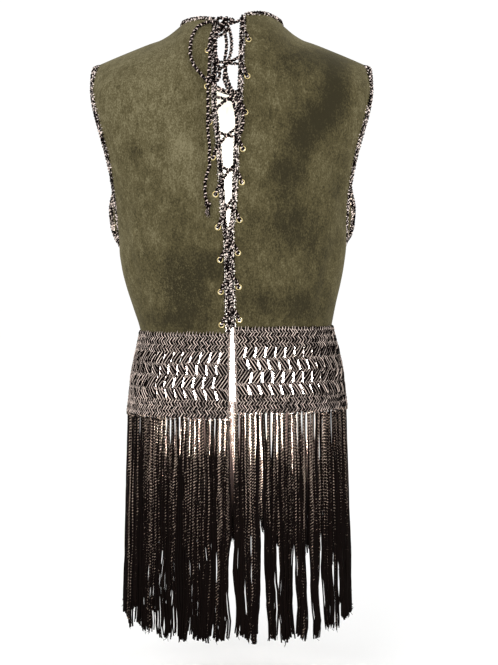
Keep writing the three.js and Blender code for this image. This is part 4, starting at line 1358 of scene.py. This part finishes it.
def holeRowStitches(yarn, side, row):
    # slanted strands that fill the bars between the holes
    half = row["wide"] / 2 * band["slotShare"][side]
    top, foot, lean = row["top"], row["foot"], row["lean"]
    travel = side * math.copysign(band["strandSlope"], lean) * (foot - top)
    t = np.linspace(0, 1, 25)
    drop = mix(top - 1.6, foot + 1.6, t)
    arch = 0.3 + 0.8 * np.sin(np.pi * np.linspace(0, 1, 5))

    def middleOf(k):
        upper = holeMiddle(side, top, k, row["phase"], lean / 2)
        return mix(upper, holeMiddle(side, foot, k, row["phase"], -lean / 2), t)

    distances, drops, arches = [], [], []
    for k in range(-1, band["holes"]):
        left = middleOf(k) + half - rng.normal(0.15, 0.4)
        right = middleOf(k + 1) - half + rng.normal(0.15, 0.4)
        if k == -1:
            left = np.full_like(t, band["slitEdge"])
        if k == band["holes"] - 1:
            right = np.full_like(t, bandTotal(side, top) - 0.8)
        first = left.min() - abs(travel) / 2
        last = right.max() + abs(travel) / 2
        for base in np.arange(first, last, band["strandPitch"]) + rng.uniform(0, band["strandPitch"]):
            line = base + travel * (0.5 - t)
            inside = np.where((line > left) & (line < right))[0]
            if len(inside) < 7:
                continue
            pick = np.linspace(inside[0], inside[-1], len(arch)).round().astype(int)
            distances.append(line[pick])
            drops.append(drop[pick])
            arches.append(arch + rng.normal(0, 0.1))
    line, normals = onBand(side, distances, drops, arches)
    addTubes(yarn, line, band["yarn"] * np.array([0.85, 1.05, 1.1, 1.05, 0.85]), normals)


def slitChain(yarn, side):
    # the worked edge beside the slit
    count = int(band["height"] / band["edgePitch"])
    middles = (np.arange(count) + 0.5) * band["height"] / count
    drop = middles[:, None] + np.linspace(-0.55, 0.75, 4)[None, :] * band["edgePitch"]
    for near, out in ((1.6, 0.5), (3.0, 0.6)):
        distance = near + np.array([1.2, 0.1, 0.2, 1.0])[None, :] + rng.normal(0, 0.1, (count, 1))
        arch = out + 0.4 * np.sin(np.linspace(0, np.pi, 4))[None, :]
        line, normals = onBand(side, distance, np.clip(drop, 0, band["height"]), arch)
        addTubes(yarn, line, [0.7, 0.95, 0.95, 0.7], normals)


def waistStitches(yarn, side):
    # small stitches taken up over the suede's lower edge
    total = bandTotal(side, 0)
    count = int(total / band["waistPitch"])
    s = (np.arange(count) + 0.5) * total / count + rng.normal(0, 0.3, count)
    t = np.array([0.0, 0.35, 0.75, 1.0])
    drop = 5.0 - rng.uniform(4.2, 6.0, count)[:, None] * t[None, :]
    distance = np.clip(s[:, None] + side * 0.9 * t[None, :], band["slitEdge"], total - 0.6)
    line, normals = onBand(side, distance, drop, np.array([0.8, 1.6, 1.5, 0.4]))
    addTubes(yarn, line, [0.9, 0.95, 0.85, 0.5], normals, tone=rng.uniform(0.6, 1, count))


def plainRows(yarn, side, drops, slant):
    for i, (top, foot) in enumerate(zip(drops, drops[1:])):
        chevronRow(yarn, side, top, foot, slant if i % 2 else -slant)


for sideName, side in bothSides:
    ground = bandGround(side, "band_" + sideName)
    yarn = newYarn()
    plainRows(yarn, side, band["upperRows"], 3.9)
    nextTops = [row["top"] for row in band["rows"][1:]] + [band["lastFoot"]]
    for index, row in enumerate(band["rows"]):
        holeRowStitches(yarn, side, row)
        slant = 3.0 if index % 2 else -3.0
        chevronRow(yarn, side, row["foot"] - 0.2, nextTops[index] + 0.2, slant, 4.1, 1.1, 0.5)
    plainRows(yarn, side, band["lowerRows"], 3.6)
    slitChain(yarn, side)
    waistStitches(yarn, side)
    stitches = yarnObject(yarn, f"band_{sideName}_stitches", yarns["crochetYarn"])
    declare(ground, "band_" + sideName)
print("hip band crocheted")


# ---- fringe ----
fringe = {
    "roots": 62,
    "yarns": 7,
    "rings": 26,
    "head": 5.0,
    "hangDrop": 400,
    "yarnRadius": 1.12,
    "topHalf": 1.4,
    "spread": {-1: (4.0, 5.4), 1: (2.8, 4.0)},
    "endRound": [0, 0.2, 0.4, 0.5, 0.62, 0.8, 1],
    "endZ": [-806, -805, -795, -786, -750, -728, -720],
    "seed": {-1: 31, 1: 47},
    "fadeBy": {-1: 330, 1: 230},
    "cling": {-1: (0.0, 0.3), 1: (0.5, 0.95)},
    "drift": 0.13,
    "loose": 0.45,
    # length, size and growth of each wave down a hank
    "waves": [(170, 1.7, 1.0), (66, 0.8, 1.4), (27, 0.4, 2.4)],
}
fringeHair = {
    "across": (0, 2.2),
    "out": (0, 1.6),
    "down": (8, 13),
    "curl": (1.2, 0.9),
    "bends": 2.4,
    "radius": (0.55, 0.22),
    "points": 5,
    "up": [0.3, 1, 0.2],
}


def fringeLines(side, local):
    # the middle line of each hank, from its knot to its end
    roots = fringe["roots"]
    headDrop = band["height"] + 0.3
    share = (np.arange(roots) + 0.5) / roots
    along = share * bandTotal(side, headDrop) + local.normal(0, 0.4, roots)
    start, _ = onBand(side, along, headDrop + fringe["head"] - 2.5, -1.2)
    endZ = np.interp(share, fringe["endRound"], fringe["endZ"]) + local.uniform(-7, 6, roots)
    endZ += np.where(local.uniform(0, 1, roots) < 0.1, local.uniform(8, 26, roots), 0)
    # neighbours cling together lower down
    clump = np.zeros(roots)
    i = 0
    while i < roots:
        size = int(local.integers(1, 4))
        clump[i : i + size] = share[i : i + size].mean()
        i += size
    gather = local.uniform(*fringe["cling"][side], roots) * np.where(share < 0.45, 1, 0.5)
    tipShare = np.clip(mix(share, clump, gather) + local.normal(0, 0.0012, roots), 0.004, 0.997)
    hang, _ = bandRow(side, fringe["hangDrop"])
    index = tipShare * (len(hang) - 1)
    k = np.clip(index.astype(int), 0, len(hang) - 2)
    part = (index - k)[:, None]
    tip = hang[k] * (1 - part) + hang[k + 1] * part
    tangent = unit(hang[k + 1] - hang[k])
    outward = np.stack([tangent[:, 1], -tangent[:, 0], 0 * tangent[:, 0]], axis=1)
    outward *= np.sign(np.sum(outward * (tip - bandMiddle), axis=1))[:, None]
    tip = tip - outward * local.uniform(0.8, 4.2, (roots, 1))
    tip[:, 2] = endZ
    t = np.linspace(0, 1, fringe["rings"])
    line = start[:, None] * (1 - t)[None, :, None] + tip[:, None] * t[None, :, None]
    gone = np.abs(line[:, :, 2] - start[:, None, 2])
    for reach, size, power in fringe["waves"]:
        phase = local.uniform(0, 2 * np.pi, (roots, 2))
        wave = 2 * np.pi * gone / (reach * local.uniform(0.8, 1.25, (roots, 1)))
        grow = size * t[None, :] ** power
        line += (grow * (np.sin(wave + phase[:, :1]) - np.sin(phase[:, :1])))[..., None] * tangent[:, None]
        line += (0.5 * grow * np.sin(0.8 * wave + phase[:, 1:]))[..., None] * outward[:, None]
    return along, line, gone, t, tangent, outward


def makeFringe(side, name):
    local = np.random.default_rng(fringe["seed"][side])
    roots = fringe["roots"]
    column = (roots, 1)
    along, line, gone, t, tangent, outward = fringeLines(side, local)
    opening = np.clip((gone - 22) / 80, 0, 1)
    opening = opening * opening * (3 - 2 * opening)
    half = mix(fringe["topHalf"], local.uniform(*fringe["spread"][side], column), opening)
    # hanks that keep their light flecks further down than others
    flecked = local.uniform(0, 1, roots) ** 2
    flecked = np.where(local.uniform(0, 1, roots) < 0.16, 0.7, 0.55 * flecked)[:, None]
    fade = 0.38 * (1 - flecked) + np.clip(gone / fringe["fadeBy"][side], 0, 1) * (1 - 0.6 * flecked)
    yarn = newYarn()
    for k in range(fringe["yarns"]):
        place = 2 * k / (fringe["yarns"] - 1) - 1
        turns = 2 * np.pi * gone / local.uniform(70, 130, column)
        aside = half * (place + fringe["drift"] * np.sin(turns + local.uniform(0, 6.28, column)))
        depth = local.uniform(-0.9, 0.9, column) * (0.6 + 0.5 * opening)
        strand = line + aside[..., None] * tangent[:, None] + depth[..., None] * outward[:, None]
        loose = local.normal(0, fringe["loose"], (roots, 1, 1)) * (t[None, :, None] ** 4)
        strand = strand + loose * tangent[:, None]
        shorter = 1 - local.uniform(0, 0.022, column)
        strand[:, :, 2] = line[:, :1, 2] - (line[:, :1, 2] - strand[:, :, 2]) * shorter
        radius = fringe["yarnRadius"] * local.uniform(0.8, 1.2, column) * (0.86 + 0.14 * opening)
        radius = radius * (1 + 0.08 * np.sin(gone / 2.3 + k))
        radius[:, -1] *= 0.85
        tone = local.uniform(0, 1, roots)
        addTubes(yarn, strand, radius, outward[:, None], 4, tone=tone, depth=fade, capped=True)
    # each hank is looped and knotted through the band's lower edge
    total = bandTotal(side, band["height"])
    turn = np.linspace(-1, 1, 6)
    for level, reach, radius in ((0.3, 2.7, 1.2), (2.6, 2.2, 1.05)):
        distance = np.clip(along[:, None] + reach * turn[None, :], 0.3, total - 0.3)
        drop = band["height"] + 0.3 + level + 0.5 * turn
        loop, n = onBand(side, distance, drop, 0.9 * np.cos(turn * 1.3))
        addTubes(yarn, loop, radius * np.array([0.6, 0.95, 1, 1, 0.95, 0.6]), n)
    for _ in range(2):
        addHairs(yarn, local, line[:, -2] + local.normal(0, 1.6, (roots, 3)), fringeHair, depth=1.0)
    yarnObject(yarn, name + "_yarn", yarns["fringeYarn"], name)


makeFringe(-1, "fringe_left")
makeFringe(1, "fringe_right")
print("fringe knotted on")

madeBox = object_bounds()
for low, high in ((cadBox[0], madeBox[0]), (cadBox[1], madeBox[1])):
    print("box", [round(c * 1000, 1) for c in low], [round(c * 1000, 1) for c in high])
meshes = [o for o in bpy.data.objects if o.type == "MESH"]
triangles = {o.name: sum(len(p.vertices) - 2 for p in o.data.polygons) for o in meshes}
print("triangles", sum(triangles.values()), {k: v for k, v in triangles.items() if v > 20000})
